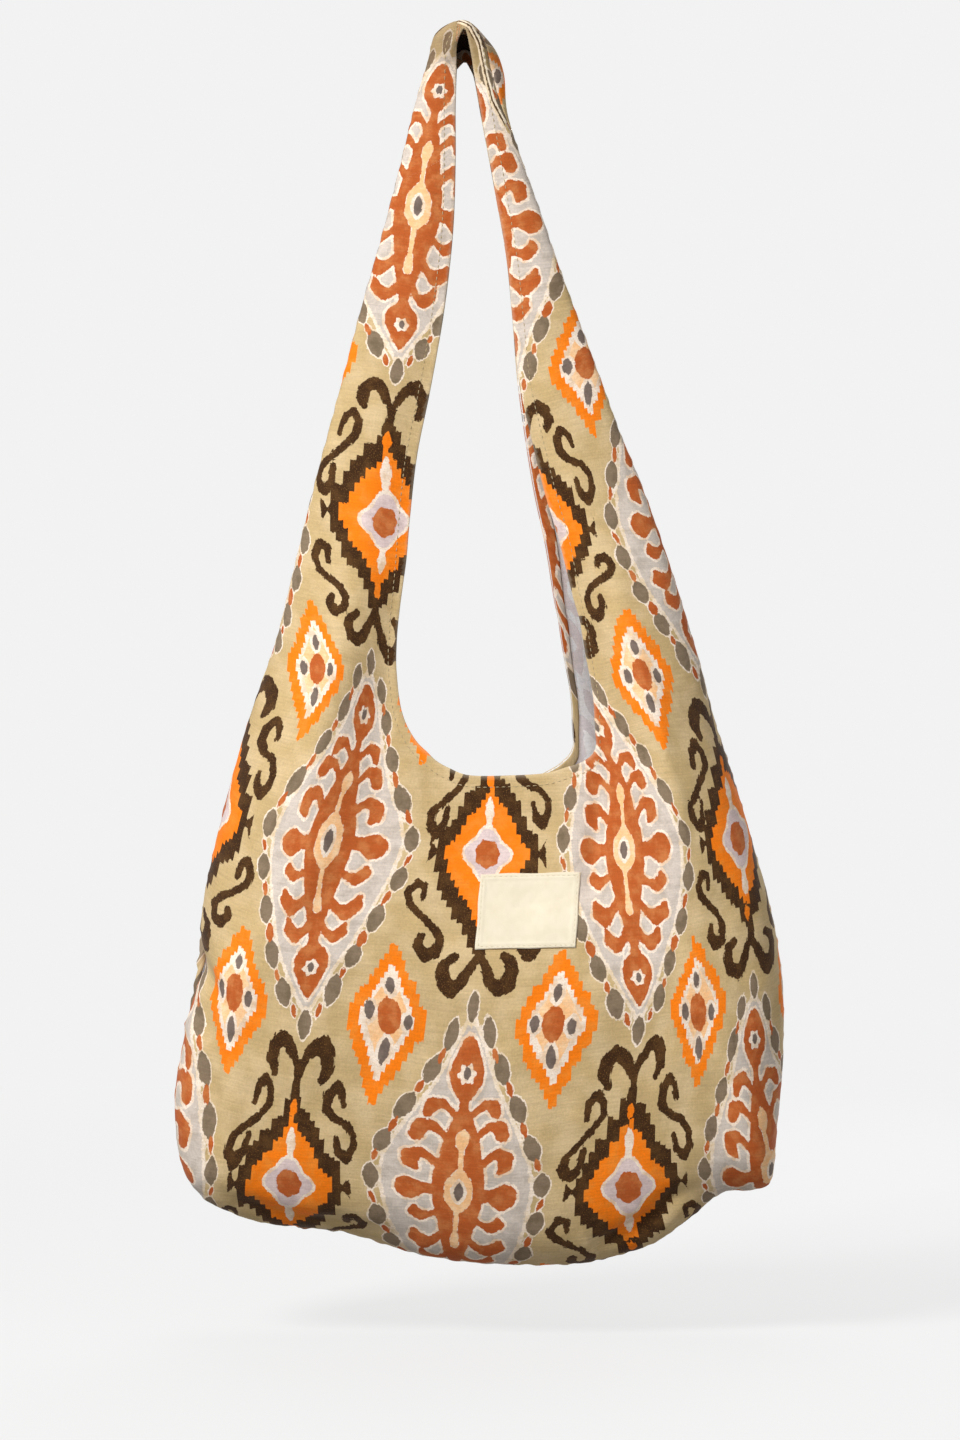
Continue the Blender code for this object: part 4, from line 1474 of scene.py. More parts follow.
def store_fields(data: bpy.types.Mesh, fields: dict[str, Array], cloth: Array) -> None:
    """Keeps the print's fields and the cloth's own coordinates on the mesh.

    Args:
        data: The mesh.
        fields: One value a vertex for each colour.
        cloth: Across and down the cloth in millimetres, one row a vertex.
    """
    for name, values in fields.items():
        layer = data.attributes.new(name, "FLOAT", "POINT")
        layer.data.foreach_set("value", values.astype(np.float32))
    layer = data.attributes.new("cloth_mm", "FLOAT_VECTOR", "POINT")
    full = np.concatenate([cloth, np.zeros((len(cloth), 1))], axis=1)
    layer.data.foreach_set("vector", full.astype(np.float32).ravel())


def even_loop(line: Array, spacing: float) -> tuple[Array, Array]:
    """A closed line cut into an even number of equal steps.

    Args:
        line: The closed line's points.
        spacing: The wanted step.

    Returns:
        The new points, and where each lies along the old ones, counted in old points.
    """
    closed = np.concatenate([line, line[:1]])
    run = np.concatenate([[0], np.cumsum(np.linalg.norm(np.diff(closed, axis=0), axis=1))])
    count = max(8, int(round(run[-1] / spacing / 2)) * 2)
    where = np.interp(np.arange(count) / count * run[-1], run, np.arange(len(closed)))
    points = np.stack([np.interp(where, np.arange(len(closed)), closed[:, k]) for k in range(closed.shape[1])], 1)
    return points, where


def at_station(values: Array, where: Array) -> Array:
    """Values of a closed loop of stations, read between stations.

    Args:
        values: One row a station.
        where: Places counted in stations.

    Returns:
        One row a place.
    """
    low = np.floor(where).astype(int) % len(values)
    share = (where - np.floor(where))[:, None]
    return values[low] * (1 - share) + values[(low + 1) % len(values)] * share


@dataclass
class Drape:
    """The creases and soft waves of the hanging canvas, as moves of its surface along its own normal.

    A wave is its share and the two ripples that it is the product of. A ripple is its turns across and down the
    cloth, its start, and how much the side of the bag shifts it.
    """

    side: Side
    folds: tuple = ()
    ridges: tuple = (
        Fold(through((459, 22), (472, 29), (481, 46), (487, 76), (494, 102), (507, 126)), 0.0010, 0.0015),
    )
    waves: tuple = (
        (1.0, (41, 17, 0, 1), (-12, 33, 0, 2)),
        (0.55, (83, -47, 3, 0), (29, 71, 0, 1)),
        (0.30, (171, 90, 0, 0), (-101, 153, 1, 0)),
    )
    wave: float = 0.0011
    wave_on_strap: float = 0.45
    pucker: float = 0.0005
    pucker_on_strap: float = 0.35
    pucker_reach: float = 0.05
    body_from: float = 0.40
    body_over: float = 0.10
    seam_steps: int = 2150
    edge_share: float = 0.04

    def moves(self, spots: dict[str, Array], flat: Array) -> Array:
        """How far each point of the panel moves outwards.

        Args:
            spots: The hung surface there.
            flat: The same points on the flat cloth.

        Returns:
            The moves in metres.
        """
        x, z, share = spots["place"][:, 0], spots["place"][:, 2], spots["share"]
        body = np.clip((-z - self.body_from) / self.body_over, 0, 1)

        def ripple(across: float, down: float, start: float, by_side: float) -> Array:
            """One ripple over the flat cloth."""
            return np.sin(flat[:, 0] * across + flat[:, 1] * down + start + by_side * self.side.value)

        soft = sum(part * ripple(*first) * ripple(*second) for part, first, second in self.waves)
        calm = np.sin(math.pi * np.clip(share, 0, 1)) ** 0.5
        moved = soft * self.wave * calm * (self.wave_on_strap + (1 - self.wave_on_strap) * body)
        edge = np.exp(-(((1 - share) / self.pucker_reach) ** 2))
        edge = edge * (self.pucker_on_strap + (1 - self.pucker_on_strap) * body)
        round_way = spots["round"] * self.seam_steps
        moved += edge * self.pucker * (np.sin(round_way * 0.43) + 0.6 * np.sin(round_way * 0.71 + 1))
        for fold in self.folds + self.ridges:
            moved += fold.height(x, z) * np.clip(share / self.edge_share, 0, 1)
        return moved


@dataclass
class ClothPanel:
    """One canvas panel, cut in one with its half of the strap, as a real layer of cloth with a turned-in seam."""

    NO_RIDGE: ClassVar[float] = 99.0  # the distance from the ridge where there is none

    form: HangingForm
    side: Side
    grid: ClothGrid
    drape: Drape
    cells_at: Callable[[Array], Array]
    pattern: IkatPrint
    spacing: float = 0.00165
    lining_spacing: float = 0.0034
    rim_out: float = 0.0004  # how far the folded mouth edge stands out
    seam_back: float = 0.0001  # how far the outer face keeps back from the seam's middle
    shut: float = 0.00009  # how far past that the allowances close, so that no light shows through the seam
    shut_below: float = -0.060  # under the crown they stay apart
    shut_over: float = 0.03
    wear: float = 0.25
    seam_wear: float = 0.012
    mouth_wear: float = 0.004
    piece: bpy.types.Object | None = None

    def _flat_mesh(self, mouth: Array, seam: Array, spacing: float) -> tuple[Array, Array]:
        """Even triangles between two loops on the flat cloth.

        Args:
            mouth: The inner loop.
            seam: The outer loop.
            spacing: The wanted edge length.

        Returns:
            The points, which start with the two loops, and the triangles.
        """
        low, high = seam.min(axis=0), seam.max(axis=0)
        rise = spacing * math.sqrt(3) / 2
        spots = np.stack(np.meshgrid(np.arange(low[0], high[0], spacing), np.arange(low[1], high[1], rise)), axis=-1)
        spots[1::2, :, 0] += spacing / 2
        spots = spots.reshape(-1, 2)
        spots = spots[point_in_loop(spots, seam)]
        spots = spots[~point_in_loop(spots, mouth)]
        border = np.concatenate([mouth, seam])
        spots = np.concatenate([border, spots[self._clear_of(spots, border, spacing)]])
        first, second = len(mouth), len(border)
        edges = [(k, (k + 1) % first) for k in range(first)]
        edges += [(first + k, first + (k + 1) % (second - first)) for k in range(second - first)]
        result = delaunay_2d_cdt([Vector(p) for p in spots.tolist()], edges, [], 1, 1e-7)
        if len(result[0]) != len(spots):
            raise ValueError(f"the flat loops of {self.side.word} cross: {len(result[0])} of {len(spots)} points")
        faces = np.array([face for face in result[2] if len(face) == 3])
        middle = spots[faces].mean(axis=1)
        return spots, faces[~point_in_loop(middle, mouth)]

    @staticmethod
    def _clear_of(spots: Array, border: Array, spacing: float) -> Array:
        """Which spots lie far enough from the border for even triangles, found by way of a grid of cells.

        Args:
            spots: Flat points.
            border: Points of the two loops.
            spacing: The wanted edge length.

        Returns:
            One truth value a spot.
        """
        taken: dict[tuple[int, int], list[int]] = {}
        for index, (x, y) in enumerate(border):
            taken.setdefault((int(x // spacing), int(y // spacing)), []).append(index)
        keep = np.ones(len(spots), bool)
        for index, (i, j) in enumerate(np.floor(spots / spacing).astype(int).tolist()):
            near = [k for a in (i - 1, i, i + 1) for b in (j - 1, j, j + 1) for k in taken.get((a, b), ())]
            if near and np.min(np.hypot(*(border[near] - spots[index]).T)) < spacing * 0.62:
                keep[index] = False
        return keep

    def build(self, face: bpy.types.Material, reverse: bpy.types.Material) -> bpy.types.Object:
        """Builds the panel.

        Args:
            face: The printed side's finish.
            reverse: The unprinted side's finish.

        Returns:
            The finished piece.
        """
        cloth = self.form.cloth
        mouth, mouth_at = even_loop(self.grid.flat[:, 0], self.spacing)
        seam, seam_at = even_loop(self.grid.flat[:, -1], self.spacing)
        count_m, count_s = len(mouth), len(seam)
        outer_flat, outer_faces = self._flat_mesh(mouth, seam, self.spacing)
        inner_flat, inner_faces = self._flat_mesh(mouth[::2], seam[::2], self.lining_spacing)
        outer, inner = self.grid.at_flat(outer_flat), self.grid.at_flat(inner_flat)
        outer_place = outer["place"] + outer["normal"] * self.drape.moves(outer, outer_flat)[:, None]
        inner_place = inner["place"] + inner["normal"] * (self.drape.moves(inner, inner_flat) - cloth)[:, None]

        inward, ahead = at_station(self.grid.inward, seam_at), at_station(self.grid.ahead, seam_at)
        edge = outer_place[count_m : count_m + count_s]
        reach = np.linalg.norm(edge - at_station(self.grid.place[:, 0], seam_at), axis=1)
        turned = np.minimum(self.form.allowance, self.form.allowance_room * reach)[:, None]
        edge -= ahead * self.seam_back
        inner_place[(count_m // 2) : (count_m // 2 + count_s // 2)] = edge[::2] + (inward - ahead)[::2] * cloth
        below = np.clip((self.shut_below - edge[:, 2]) / self.shut_over, 0, 1)[:, None]
        tip = edge + inward * turned + ahead * below * (self.form.clearance / 2 + self.shut)
        rim = (outer_place[:count_m] + np.repeat(inner_place[: count_m // 2], 2, axis=0)) / 2
        way = at_station(unit_rows(self.grid.flat[:, 0] - self.grid.flat[:, 1]), mouth_at)
        rim[:, [0, 2]] += way * self.rim_out

        places = [outer_place, inner_place, tip, (tip - ahead * cloth)[::2], rim]
        inner_at, tip_at, tip_inner_at, rim_at = np.cumsum([len(group) for group in places[:-1]]).tolist()
        faces = [(tuple(f), 0) for f in outer_faces.tolist()]
        faces += [(tuple(v + inner_at for v in f), 1) for f in inner_faces.tolist()]
        faces += self._strip(0, rim_at, count_m, 0)
        faces += self._halving_strip(rim_at, inner_at, count_m, 0)
        faces += self._strip(count_m, tip_at, count_s, 0)
        faces += self._halving_strip(tip_at, tip_inner_at, count_s, 1)
        faces += self._strip(tip_inner_at, inner_at + count_m // 2, count_s // 2, 1)
        mesh = bmesh.new()
        verts = [mesh.verts.new(point) for point in np.concatenate(places).tolist()]
        for corners, finish in faces:
            mesh.faces.new([verts[k] for k in corners]).material_index = finish
        bmesh.ops.recalc_face_normals(mesh, faces=mesh.faces)
        self.piece = piece_from_mesh(f"{self.side.word}_canvas", mesh, (face, reverse))
        share = np.concatenate([outer["share"], inner["share"], np.ones(count_s + count_s // 2), np.zeros(count_m)])
        flat = np.concatenate([outer_flat, inner_flat, seam, seam[::2], mouth])
        self._store(flat, np.concatenate(places), share)
        return self.piece

    def _store(self, flat: Array, places: Array, share: Array) -> None:
        """Keeps the print, the wear and the ridge on the panel's mesh.

        Args:
            flat: Its points on the flat cloth.
            places: Its points as they hang.
            share: How far each lies from the mouth, as a share of the way to the seam.
        """
        cells = self.cells_at(flat)
        fields = self.pattern.fields(cells)
        worn = np.exp(-(((1 - share) / self.seam_wear) ** 2)) + np.exp(-((share / self.mouth_wear) ** 2))
        signed, along = self.drape.ridges[0].near(places[:, 0], places[:, 2])
        fields["ridge"] = np.where((along > 0) & (along < 1), signed * 1000, self.NO_RIDGE)
        fields["wear"] = worn * self.wear
        store_fields(self.piece.data, fields, cells * self.pattern.repeat)

    @staticmethod
    def _strip(first: int, second: int, count: int, finish: int) -> list:
        """Faces between two loops with as many points.

        Args:
            first: Where the first loop starts.
            second: Where the second loop starts.
            count: Points in each loop.
            finish: The material's number.

        Returns:
            The faces with their material's number.
        """
        steps = [(k, (k + 1) % count) for k in range(count)]
        return [((first + k, first + n, second + n, second + k), finish) for k, n in steps]

    @staticmethod
    def _halving_strip(first: int, second: int, count: int, finish: int) -> list:
        """Faces between a loop and one that has a point at every second one of it; see _strip.

        Args:
            first: Where the full loop starts.
            second: Where the other starts.
            count: Points in the full loop.
            finish: The material's number.

        Returns:
            The faces with their material's number.
        """
        faces, half = [], count // 2
        for k in range(half):
            corners = (2 * k, 2 * k + 1, (2 * k + 2) % count)
            faces.append(((*(first + c for c in corners), second + (k + 1) % half, second + k), finish))
        return faces


@dataclass
class MouthFacing:
    """The printed hem turned to the inside of a mouth edge, and the row of stitches that holds it.

    A rail is a distance from the mouth edge with the hem's thickness there, as a share of the cloth's.
    """

    panel: ClothPanel
    rails: tuple = ((0.0006, 0.75), (0.0014, 1.0), (0.0030, 1.02), (0.0048, 1.0), (0.0062, 0.98), (0.0072, 0.70))
    cloth: float = 0.0008
    gap: float = 0.00035
    spacing: float = 0.0016
    stitch: float = 0.0026
    stitch_gap: float = 0.0009
    thread: float = 0.00024
    stitch_row: float = 0.0063

    def _lines(self, distances: Iterable[float], spacing: float) -> list[tuple[Array, Array, Array]]:
        """Lines round the mouth at these distances from its edge.

        Args:
            distances: Distances in metres along the cloth.
            spacing: The step round the mouth.

        Returns:
            For each line its hung places, its outward directions and its places on the flat, turned-back cloth.
        """
        grid, drape = self.panel.grid, self.panel.drape
        edge, where = even_loop(grid.flat[:, 0], spacing)
        way = unit_rows(at_station(grid.flat[:, 1] - grid.flat[:, 0], where))
        lines = []
        for distance in distances:
            flat = edge + way * distance
            spots = grid.at_flat(flat)
            place = spots["place"] + spots["normal"] * drape.moves(spots, flat)[:, None]
            lines.append((place, spots["normal"], edge - way * distance))
        return lines

    def build(self, finish: bpy.types.Material) -> bpy.types.Object:
        """Builds the turned hem.

        Args:
            finish: The printed side's finish.

        Returns:
            The hem.
        """
        lines = self._lines([distance for distance, _ in self.rails], self.spacing)
        under = self.panel.form.cloth + self.gap
        rings = [place - normal * under for place, normal, _ in lines]
        rings += [place - normal * (under + self.cloth * thick)
                  for (place, normal, _), (_, thick) in reversed(list(zip(lines, self.rails)))]
        mesh = bmesh.new()
        verts = [[mesh.verts.new(p) for p in ring.tolist()] for ring in rings]
        skin(mesh, verts + verts[:1], around=True)
        bmesh.ops.recalc_face_normals(mesh, faces=mesh.faces)
        made = piece_from_mesh(f"{self.panel.side.word}_mouth_hem", mesh, (finish,))
        cells = self.panel.cells_at(np.concatenate([flat for _, _, flat in lines + lines[::-1]]))
        fields = self.panel.pattern.fields(cells)
        fields["wear"] = np.zeros(len(cells))
        fields["ridge"] = np.full(len(cells), self.panel.NO_RIDGE)
        store_fields(made.data, fields, cells * self.panel.pattern.repeat)
        return made

    def stitches(self, finish: bpy.types.Material) -> bpy.types.Object:
        """Builds the row of stitches on the panel's outer face.

        Args:
            finish: The thread's finish.

        Returns:
            The row of stitches.
        """
        step = (self.stitch + self.stitch_gap) / STITCH_POINTS
        place, normal, _ = self._lines([self.stitch_row], step)[0]
        name = f"{self.panel.side.word}_mouth_stitches"
        return stitch_row(name, place, normal, int(round(self.stitch / step)), self.thread, finish)


def stitch_row(
    name: str, line: Array, outward: Array, steps: int, radius: float, finish: bpy.types.Material,
) -> bpy.types.Object:
    """A row of stitches, each a short thread that dips into the cloth at both ends.

    Args:
        name: The piece's name.
        line: Points along the row on the cloth.
        outward: Directions out of the cloth.
        steps: Points that one stitch runs over.
        radius: The thread's radius.
        finish: The thread's finish.

    Returns:
        The row as one piece.
    """
    mesh = bmesh.new()
    turns = [math.tau * turn / THREAD_SIDES for turn in range(THREAD_SIDES)]
    for start in range(0, len(line) - STITCH_POINTS + 1, STITCH_POINTS):
        span = np.arange(start, start + steps + 1) % len(line)
        share = np.linspace(0, 1, len(span))
        out = outward[span]
        spine = line[span] + out * (radius * (1.5 * np.sin(math.pi * share) ** 0.5 - 0.7))[:, None]
        along = np.gradient(spine, axis=0)
        along /= np.linalg.norm(along, axis=1, keepdims=True) + 1e-12
        cross = np.cross(along, out)
        cross /= np.linalg.norm(cross, axis=1, keepdims=True) + 1e-12
        rings = []
        for k in range(len(span)):
            size = radius * (0.55 + 0.45 * math.sin(math.pi * share[k]))
            ways = [cross[k] * math.cos(angle) + out[k] * math.sin(angle) * 0.8 for angle in turns]
            rings.append([mesh.verts.new((spine[k] + way * size).tolist()) for way in ways])
        skin(mesh, rings, around=True)
        mesh.faces.new(rings[0][::-1])
        mesh.faces.new(rings[-1])
    bmesh.ops.recalc_face_normals(mesh, faces=mesh.faces)
    return piece_from_mesh(name, mesh, (finish,))


@dataclass
class CottonLabel:
    """The bare cotton label sewn on the front: a thin tape with its edges turned under and stitched down."""

    width: float = 0.0572
    height: float = 0.0425
    thickness: float = 0.0006
    right: float = 0.0360
    below_mouth: float = 0.0765
    lean: float = 4.0
    rise: float = 1.2
    hem: float = 0.0035
    hem_lift: float = 0.00030
    hem_ease: float = 0.00025
    gap: float = 0.0003
    sewn_at: float = 0.0016
    sewn_dip: float = 0.00022
    edge_round: float = 0.0006
    ripple: float = 0.00005
    belly: float = 0.00022
    belly_from: float = 0.006
    bow: float = 0.00025
    columns: int = 92
    rows: int = 70
    stitch: float = 0.0022
    stitch_gap: float = 0.0008
    thread: float = 0.0002

    def _spot(self, tree: BVHTree, form: HangingForm, across: float, down: float) -> Vector:
        """A point of the front panel under the label, by distances from the label's middle.

        Args:
            tree: The front panel's surface.
            form: The bag's form.
            across: Right of the label's middle.
            down: Below it.

        Returns:
            The point in space.
        """
        lean, rise = math.radians(self.lean), math.radians(self.rise)
        spot = Vector((self.right, 0, -form.strap_drop - self.below_mouth))
        spot += Vector((math.cos(rise), 0, math.sin(rise))) * across
        spot += Vector((-math.sin(lean), 0, -math.cos(lean))) * down
        hit = tree.ray_cast(spot - Vector((0, form.body_depth, 0)), Vector((0, 1, 0)))[0]
        return hit if hit is not None else tree.find_nearest(spot - Vector((0, form.body_depth / 2, 0)))[0]

    def _raised(self, across: float, down: float) -> float:
        """How far the label's face stands off the canvas at this place.

        Args:
            across: Right of the label's middle.
            down: Below it.

        Returns:
            The height in metres.
        """
        edge = min(self.width / 2 - abs(across), self.height / 2 - abs(down))
        rim = min(1.0, max(0.0, edge / self.edge_round)) ** 0.5
        turned = rim / (1 + math.exp((edge - self.hem) / self.hem_ease))
        sewn = math.exp(-(((edge - self.sewn_at) / self.edge_round) ** 2))
        ripple = math.sin(across * 820) * math.sin(down * 640 + 1) * self.ripple
        belly = math.sin(across * 95 + 0.6) * math.sin(down * 120 + 1.1) * self.belly
        raised = self.gap + self.thickness * (0.35 + 0.65 * rim) + self.hem_lift * turned - self.sewn_dip * sewn
        return raised + ripple + abs(belly * min(1.0, edge / self.belly_from))

    def build(self, panel: ClothPanel, finish: bpy.types.Material, thread: bpy.types.Material) -> list:
        """Builds the label and its stitches on the front panel.

        Args:
            panel: The front panel, already built.
            finish: The tape's finish.
            thread: The thread's finish.

        Returns:
            The label and its row of stitches.
        """
        data = panel.piece.data
        tree = BVHTree.FromPolygons([v.co.copy() for v in data.vertices], [tuple(p.vertices) for p in data.polygons])
        return [self._tape(tree, panel.form, finish), self._sewn(tree, panel.form, thread)]

    def _tape(self, tree: BVHTree, form: HangingForm, finish: bpy.types.Material) -> bpy.types.Object:
        """The label's tape, its face and its underside over the panel's surface.

        Args:
            tree: The front panel's surface.
            form: The bag's form.
            finish: The tape's finish.

        Returns:
            The tape.
        """
        mesh = bmesh.new()
        over, under = [], []
        for j in range(self.rows + 1):
            top, low = [], []
            for i in range(self.columns + 1):
                across = (i / self.columns - 0.5) * self.width
                down = (j / self.rows - 0.5) * self.height
                across += self.bow * math.sin(down * 260) * (abs(across) / self.width * 2) ** 4
                down += self.bow * math.sin(across * 210 + 1) * (abs(down) / self.height * 2) ** 4
                spot = self._spot(tree, form, across, down)
                top.append(mesh.verts.new(spot - Vector((0, self._raised(across, down), 0))))
                low.append(mesh.verts.new(spot - Vector((0, self.gap, 0))))
            over.append(top)
            under.append(low)
        skin(mesh, over, around=False)
        skin(mesh, under, around=False)
        rims = []
        for rows in (over, under):
            right, left = [row[-1] for row in rows[:-1]], [row[0] for row in rows[:0:-1]]
            rims.append(rows[0][:-1] + right + rows[-1][:0:-1] + left)
        skin(mesh, rims, around=True)
        bmesh.ops.recalc_face_normals(mesh, faces=mesh.faces)
        return piece_from_mesh("cotton_label", mesh, (finish,))

    def _sewn(self, tree: BVHTree, form: HangingForm, thread: bpy.types.Material) -> bpy.types.Object:
        """The row of stitches round the label.

        Args:
            tree: The front panel's surface.
            form: The bag's form.
            thread: The thread's finish.

        Returns:
            The row of stitches.
        """
        line = []
        half_w, half_h = self.width / 2 - self.sewn_at, self.height / 2 - self.sewn_at
        corners = [(-half_w, -half_h), (half_w, -half_h), (half_w, half_h), (-half_w, half_h)]
        every = self.stitch + self.stitch_gap
        for (ax, ay), (bx, by) in zip(corners, corners[1:] + corners[:1]):
            count = int(round(math.hypot(bx - ax, by - ay) / every)) * STITCH_POINTS
            for k in range(count):
                across, down = ax + (bx - ax) * k / count, ay + (by - ay) * k / count
                line.append(self._spot(tree, form, across, down) - Vector((0, self._raised(across, down), 0)))
        outward = np.tile((0.0, -1.0, 0.0), (len(line), 1))
        steps = int(round(self.stitch / every * STITCH_POINTS))
        return stitch_row("label_stitches", np.array(line), outward, steps, self.thread, thread)


# ---------------------------------------------------------------- the scene round the bag


@dataclass
class Studio:
    """The pale floor, the soft lights and the camera."""

    target: tuple = (0.0087, 0.0, -0.399)
    distance: float = 2.8
    frame_height: float = 0.8352
    sensor: float = 36.0
    lamps: tuple = (
        ("key", (-1.5, -2.0, 1.35), 1.0, 98.0),
        ("fill", (1.9, -2.2, 0.2), 1.8, 11.0),
        ("top", (0.0, 1.2, 1.7), 1.2, 12.0),
        ("back", (0.9, 2.2, -0.1), 1.4, 20.0),
    )
    surround: float = 0.33
    paper: str = "#F2F2F2"
    floor_colour: str = "#8C8C8C"
    floor_height: float = -0.755
    floor_half: float = 9.0
    floor_cells: int = 12
    glow: float = 0.42  # share of the floor near the bag that is shown at an even tone; the rest keeps the shadow
    glow_fades: tuple = (0.5, 1.9)  # how far from the bag the shadow starts to fade, and where it is gone
    lamp_share: float = 0.40  # how bright the lamps alone leave the floor, next to the paper's tone

    def camera(self) -> bpy.types.Object:
        """The camera, straight in front at the middle of the bag's height.

        Returns:
            The camera.
        """
        data = bpy.data.cameras.new("camera")
        data.sensor_fit = "VERTICAL"
        data.sensor_height = self.sensor
        data.lens = self.sensor * self.distance / self.frame_height
        data.clip_end = 60.0
        made = bpy.data.objects.new("camera", data)
        made.location = Vector(self.target) + Vector((0, -self.distance, 0))
        made.rotation_euler = (math.pi / 2, 0, 0)
        bpy.context.scene.collection.objects.link(made)
        bpy.context.scene.camera = made
        return made

    def lights(self) -> None:
        """A large soft lamp from the upper left, weaker ones from the right, above and behind, and a pale surround."""
        for name, place, size, power in self.lamps:
            data = bpy.data.lights.new(name, "AREA")
            data.shape = "SQUARE"
            data.size = size
            data.energy = power
            lamp = bpy.data.objects.new(name, data)
            lamp.location = place
            lamp.rotation_euler = (Vector(self.target) - Vector(place)).to_track_quat("-Z", "Y").to_euler()
            bpy.context.scene.collection.objects.link(lamp)
        world = bpy.data.worlds.new("pale_surround")
        bpy.context.scene.world = world
        world.use_nodes = True
        tree = world.node_tree
        tree.nodes.clear()
        lit = add_node(tree, "ShaderNodeBackground", {"Color": (1, 1, 1, 1), "Strength": self.surround})
        shown = add_node(tree, "ShaderNodeBackground", {"Color": linear(self.paper), "Strength": 1.0})
        looked_at = NodeDesk(tree).looked_at()
        mix = add_node(tree, "ShaderNodeMixShader", {0: looked_at, 1: lit.outputs[0], 2: shown.outputs[0]})
        add_node(tree, "ShaderNodeOutputWorld", {"Surface": mix.outputs[0]})

    def _paper_floor(self) -> bpy.types.Material:
        """Matt paper that shows the bag's shadow near it and one even tone farther away.

        Returns:
            The material.
        """
        made, tree, shader = fresh_material("pale_paper_floor")
        shader.inputs["Base Color"].default_value = linear(self.floor_colour)
        shader.inputs["Roughness"].default_value = 0.95
        desk = NodeDesk(tree)
        middle = {0: desk.own_place(), 1: (0.0, 0.0, self.floor_height)}
        away = add_node(tree, "ShaderNodeVectorMath", middle, operation="DISTANCE").outputs["Value"]
        bare = desk.between(away, *self.glow_fades, self.glow)
        share = desk.math("MULTIPLY", desk.looked_at(), bare)
        # the glow makes up for what the lamps leave, so that the floor has one even tone outside the shadow
        rest = desk.math("MULTIPLY_ADD", bare, self.lamp_share, 1.0 - self.lamp_share)
        strength = desk.math("DIVIDE", rest, bare)
        glow = add_node(tree, "ShaderNodeEmission", {"Color": linear(self.paper), "Strength": strength})
        mix = add_node(tree, "ShaderNodeMixShader", {0: share, 1: shader.outputs[0], 2: glow.outputs[0]})
        tree.links.new(mix.outputs[0], tree.nodes["Material Output"].inputs["Surface"])
        return made

    def floor(self) -> bpy.types.Object:
        """A wide pale floor well below the bag.

        Returns:
            The floor.
        """
        mesh = bmesh.new()
        ways = [(k / self.floor_cells - 0.5) * 2 * self.floor_half for k in range(self.floor_cells + 1)]
        skin(mesh, [[mesh.verts.new((x, y, self.floor_height)) for x in ways] for y in ways], around=False)
        return piece_from_mesh("floor", mesh, (self._paper_floor(),))


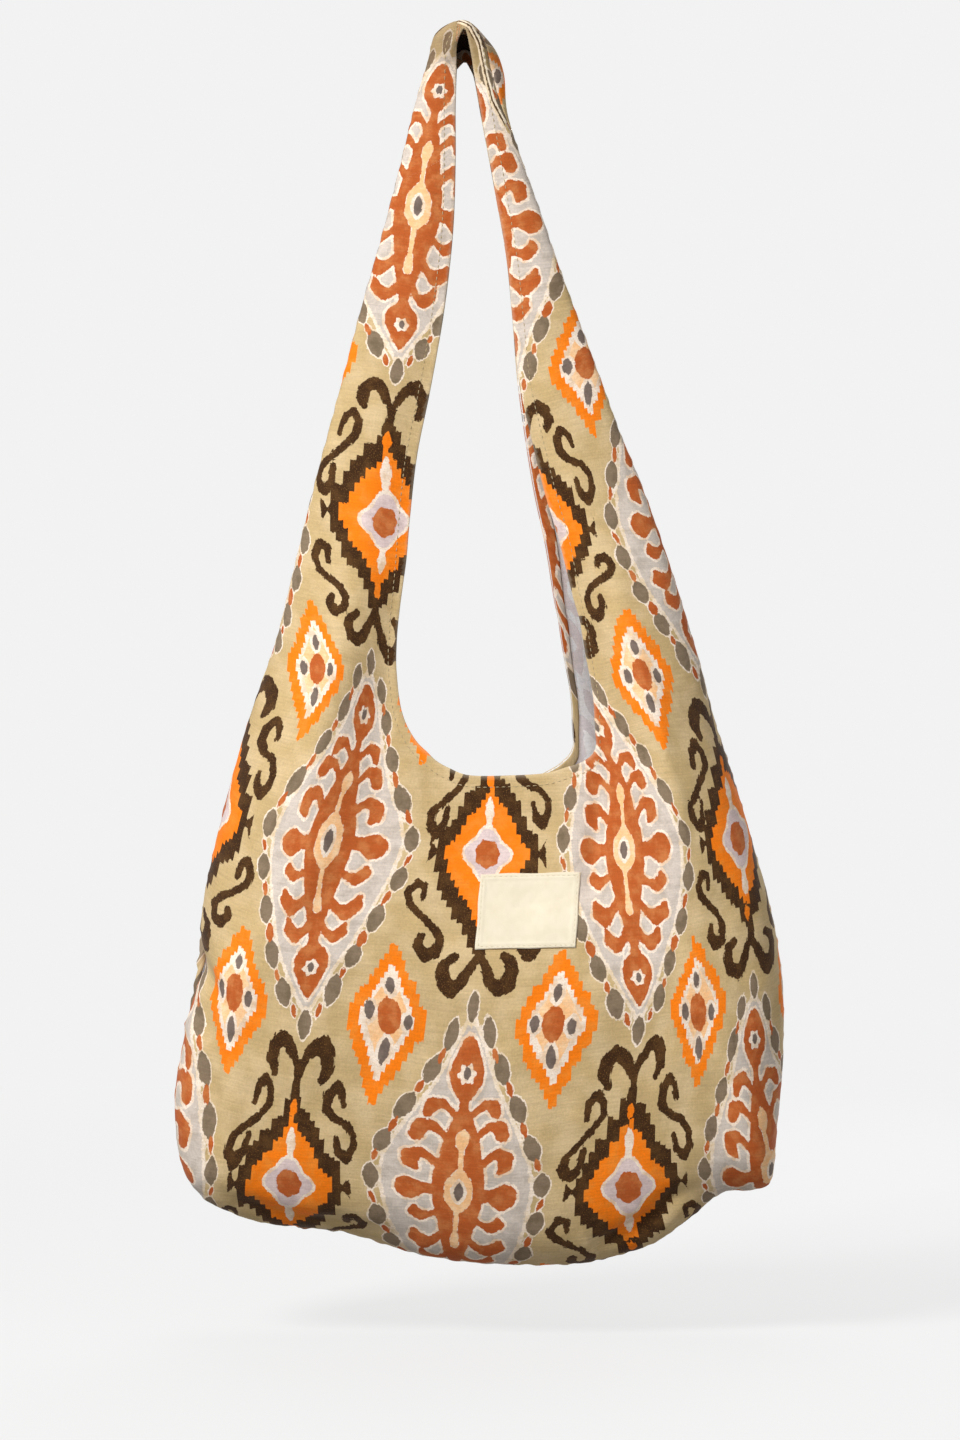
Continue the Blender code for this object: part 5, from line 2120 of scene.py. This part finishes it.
@dataclass
class SlouchBag:
    """The whole bag: both panels, both mouth hems with their stitches, and the label."""

    form: HangingForm = field(default_factory=HangingForm)
    pattern: IkatPrint = field(default_factory=IkatPrint)
    lay: PrintLay = field(default_factory=PrintLay)
    front_folds: tuple = (
        Fold(through((600, 756), (598, 800), (593, 850), (586, 900)), -0.0042, 0.0060),
        Fold(through((196, 930), (208, 990), (213, 1060), (212, 1130), (204, 1195)), -0.0060, 0.0085),
        Fold(through((186, 940), (215, 985), (236, 1010)), -0.0030, 0.0050),
        Fold(through((182, 1010), (205, 1040), (225, 1085)), 0.0022, 0.0060),
        Fold(through((590, 1246), (620, 1236), (646, 1219), (672, 1197), (712, 1184)), -0.0075, 0.0065, 0.5),
        Fold(through((205, 1176), (240, 1200), (300, 1219), (360, 1226), (420, 1236)), -0.0045, 0.0075),
        Fold(through((436, 66), (440, 47), (450, 34), (461, 27)), -0.0028, 0.0030),
        Fold(through((448, 64), (451, 48), (458, 38)), 0.0016, 0.0022),
        Fold(through((262, 1090), (300, 1150), (330, 1210)), 0.0024, 0.0130),
        Fold(through((690, 1010), (712, 1080), (726, 1150)), -0.0030, 0.0110),
        Fold(through((645, 1212), (680, 1196), (712, 1182)), 0.0030, 0.0060),
        Fold(through((238, 1190), (290, 1215), (360, 1228)), -0.0022, 0.0090),
        Fold(through((404, 720), (400, 780), (415, 840), (430, 900)), 0.0022, 0.0180),
        Fold(through((352, 700), (330, 760), (300, 840), (262, 930)), -0.0022, 0.0200),
        Fold(through((650, 700), (690, 780), (720, 880), (738, 980)), -0.0020, 0.0190),
        Fold(through((540, 900), (560, 1000), (556, 1100)), 0.0018, 0.0260),
        Fold(through((330, 960), (350, 1060), (340, 1150)), -0.0018, 0.0260),
    )
    back_folds: tuple = (
        Fold(through((330, 780), (345, 900), (352, 1020)), -0.0032, 0.0140),
        Fold(through((610, 760), (640, 880), (650, 1010)), -0.0030, 0.0120),
        Fold(through((460, 900), (480, 1000), (470, 1120)), 0.0026, 0.0240),
        Fold(through((700, 960), (716, 1060), (715, 1160)), -0.0045, 0.0090),
        Fold(through((230, 1170), (300, 1215), (400, 1235)), -0.0035, 0.0090),
        Fold(through((560, 1230), (620, 1215), (690, 1180)), -0.0035, 0.0080),
    )

    def build(self) -> list[bpy.types.Object]:
        """Builds every piece and ties it to the frame.

        Returns:
            The pieces.
        """
        face = PrintedCanvas().make()
        reverse = PrintedCanvas(reverse=True).make()
        tape = PlainCotton("undyed_cotton_tape").make()
        thread = PlainCotton("sewing_thread", colour="#C9B792", shade="#A8946C").make()
        label_thread = PlainCotton("label_thread", colour="#E9DFC6", shade="#D5C7A6").make()
        pieces: list[bpy.types.Object] = []
        panels: dict[Side, ClothPanel] = {}
        for side, folds in ((Side.FRONT, self.front_folds), (Side.BACK, self.back_folds)):
            grid = ClothGrid.hung(self.form, side)
            cells_at = self.lay.fitted(grid, side)
            panel = ClothPanel(self.form, side, grid, Drape(side, folds), cells_at, self.pattern)
            panels[side] = panel
            canvas = panel.build(face, reverse)
            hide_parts(f"{side.word}_panel")
            facing = MouthFacing(panel)
            hem = facing.build(face)
            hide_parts(f"{side.word}_mouth_facing")
            sewn = facing.stitches(thread)
            pieces += [canvas, hem, sewn]
        label, label_sewn = CottonLabel().build(panels[Side.FRONT], tape, label_thread)
        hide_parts("label")
        pieces += [label, label_sewn]
        for piece in pieces:
            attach(piece, "root")
        return pieces


def main() -> None:
    """Builds the scene and reports each piece."""
    logging.basicConfig(level=logging.INFO, format="%(message)s")
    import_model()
    studio = Studio()
    studio.camera()
    studio.lights()
    studio.floor()
    for piece in SlouchBag().build():
        count = sum(len(p.vertices) - 2 for p in piece.data.polygons)
        LOG.info("%s: %d triangles", piece.name, count)
    bpy.context.scene.view_settings.view_transform = "Standard"


if __name__ == "__main__":
    main()
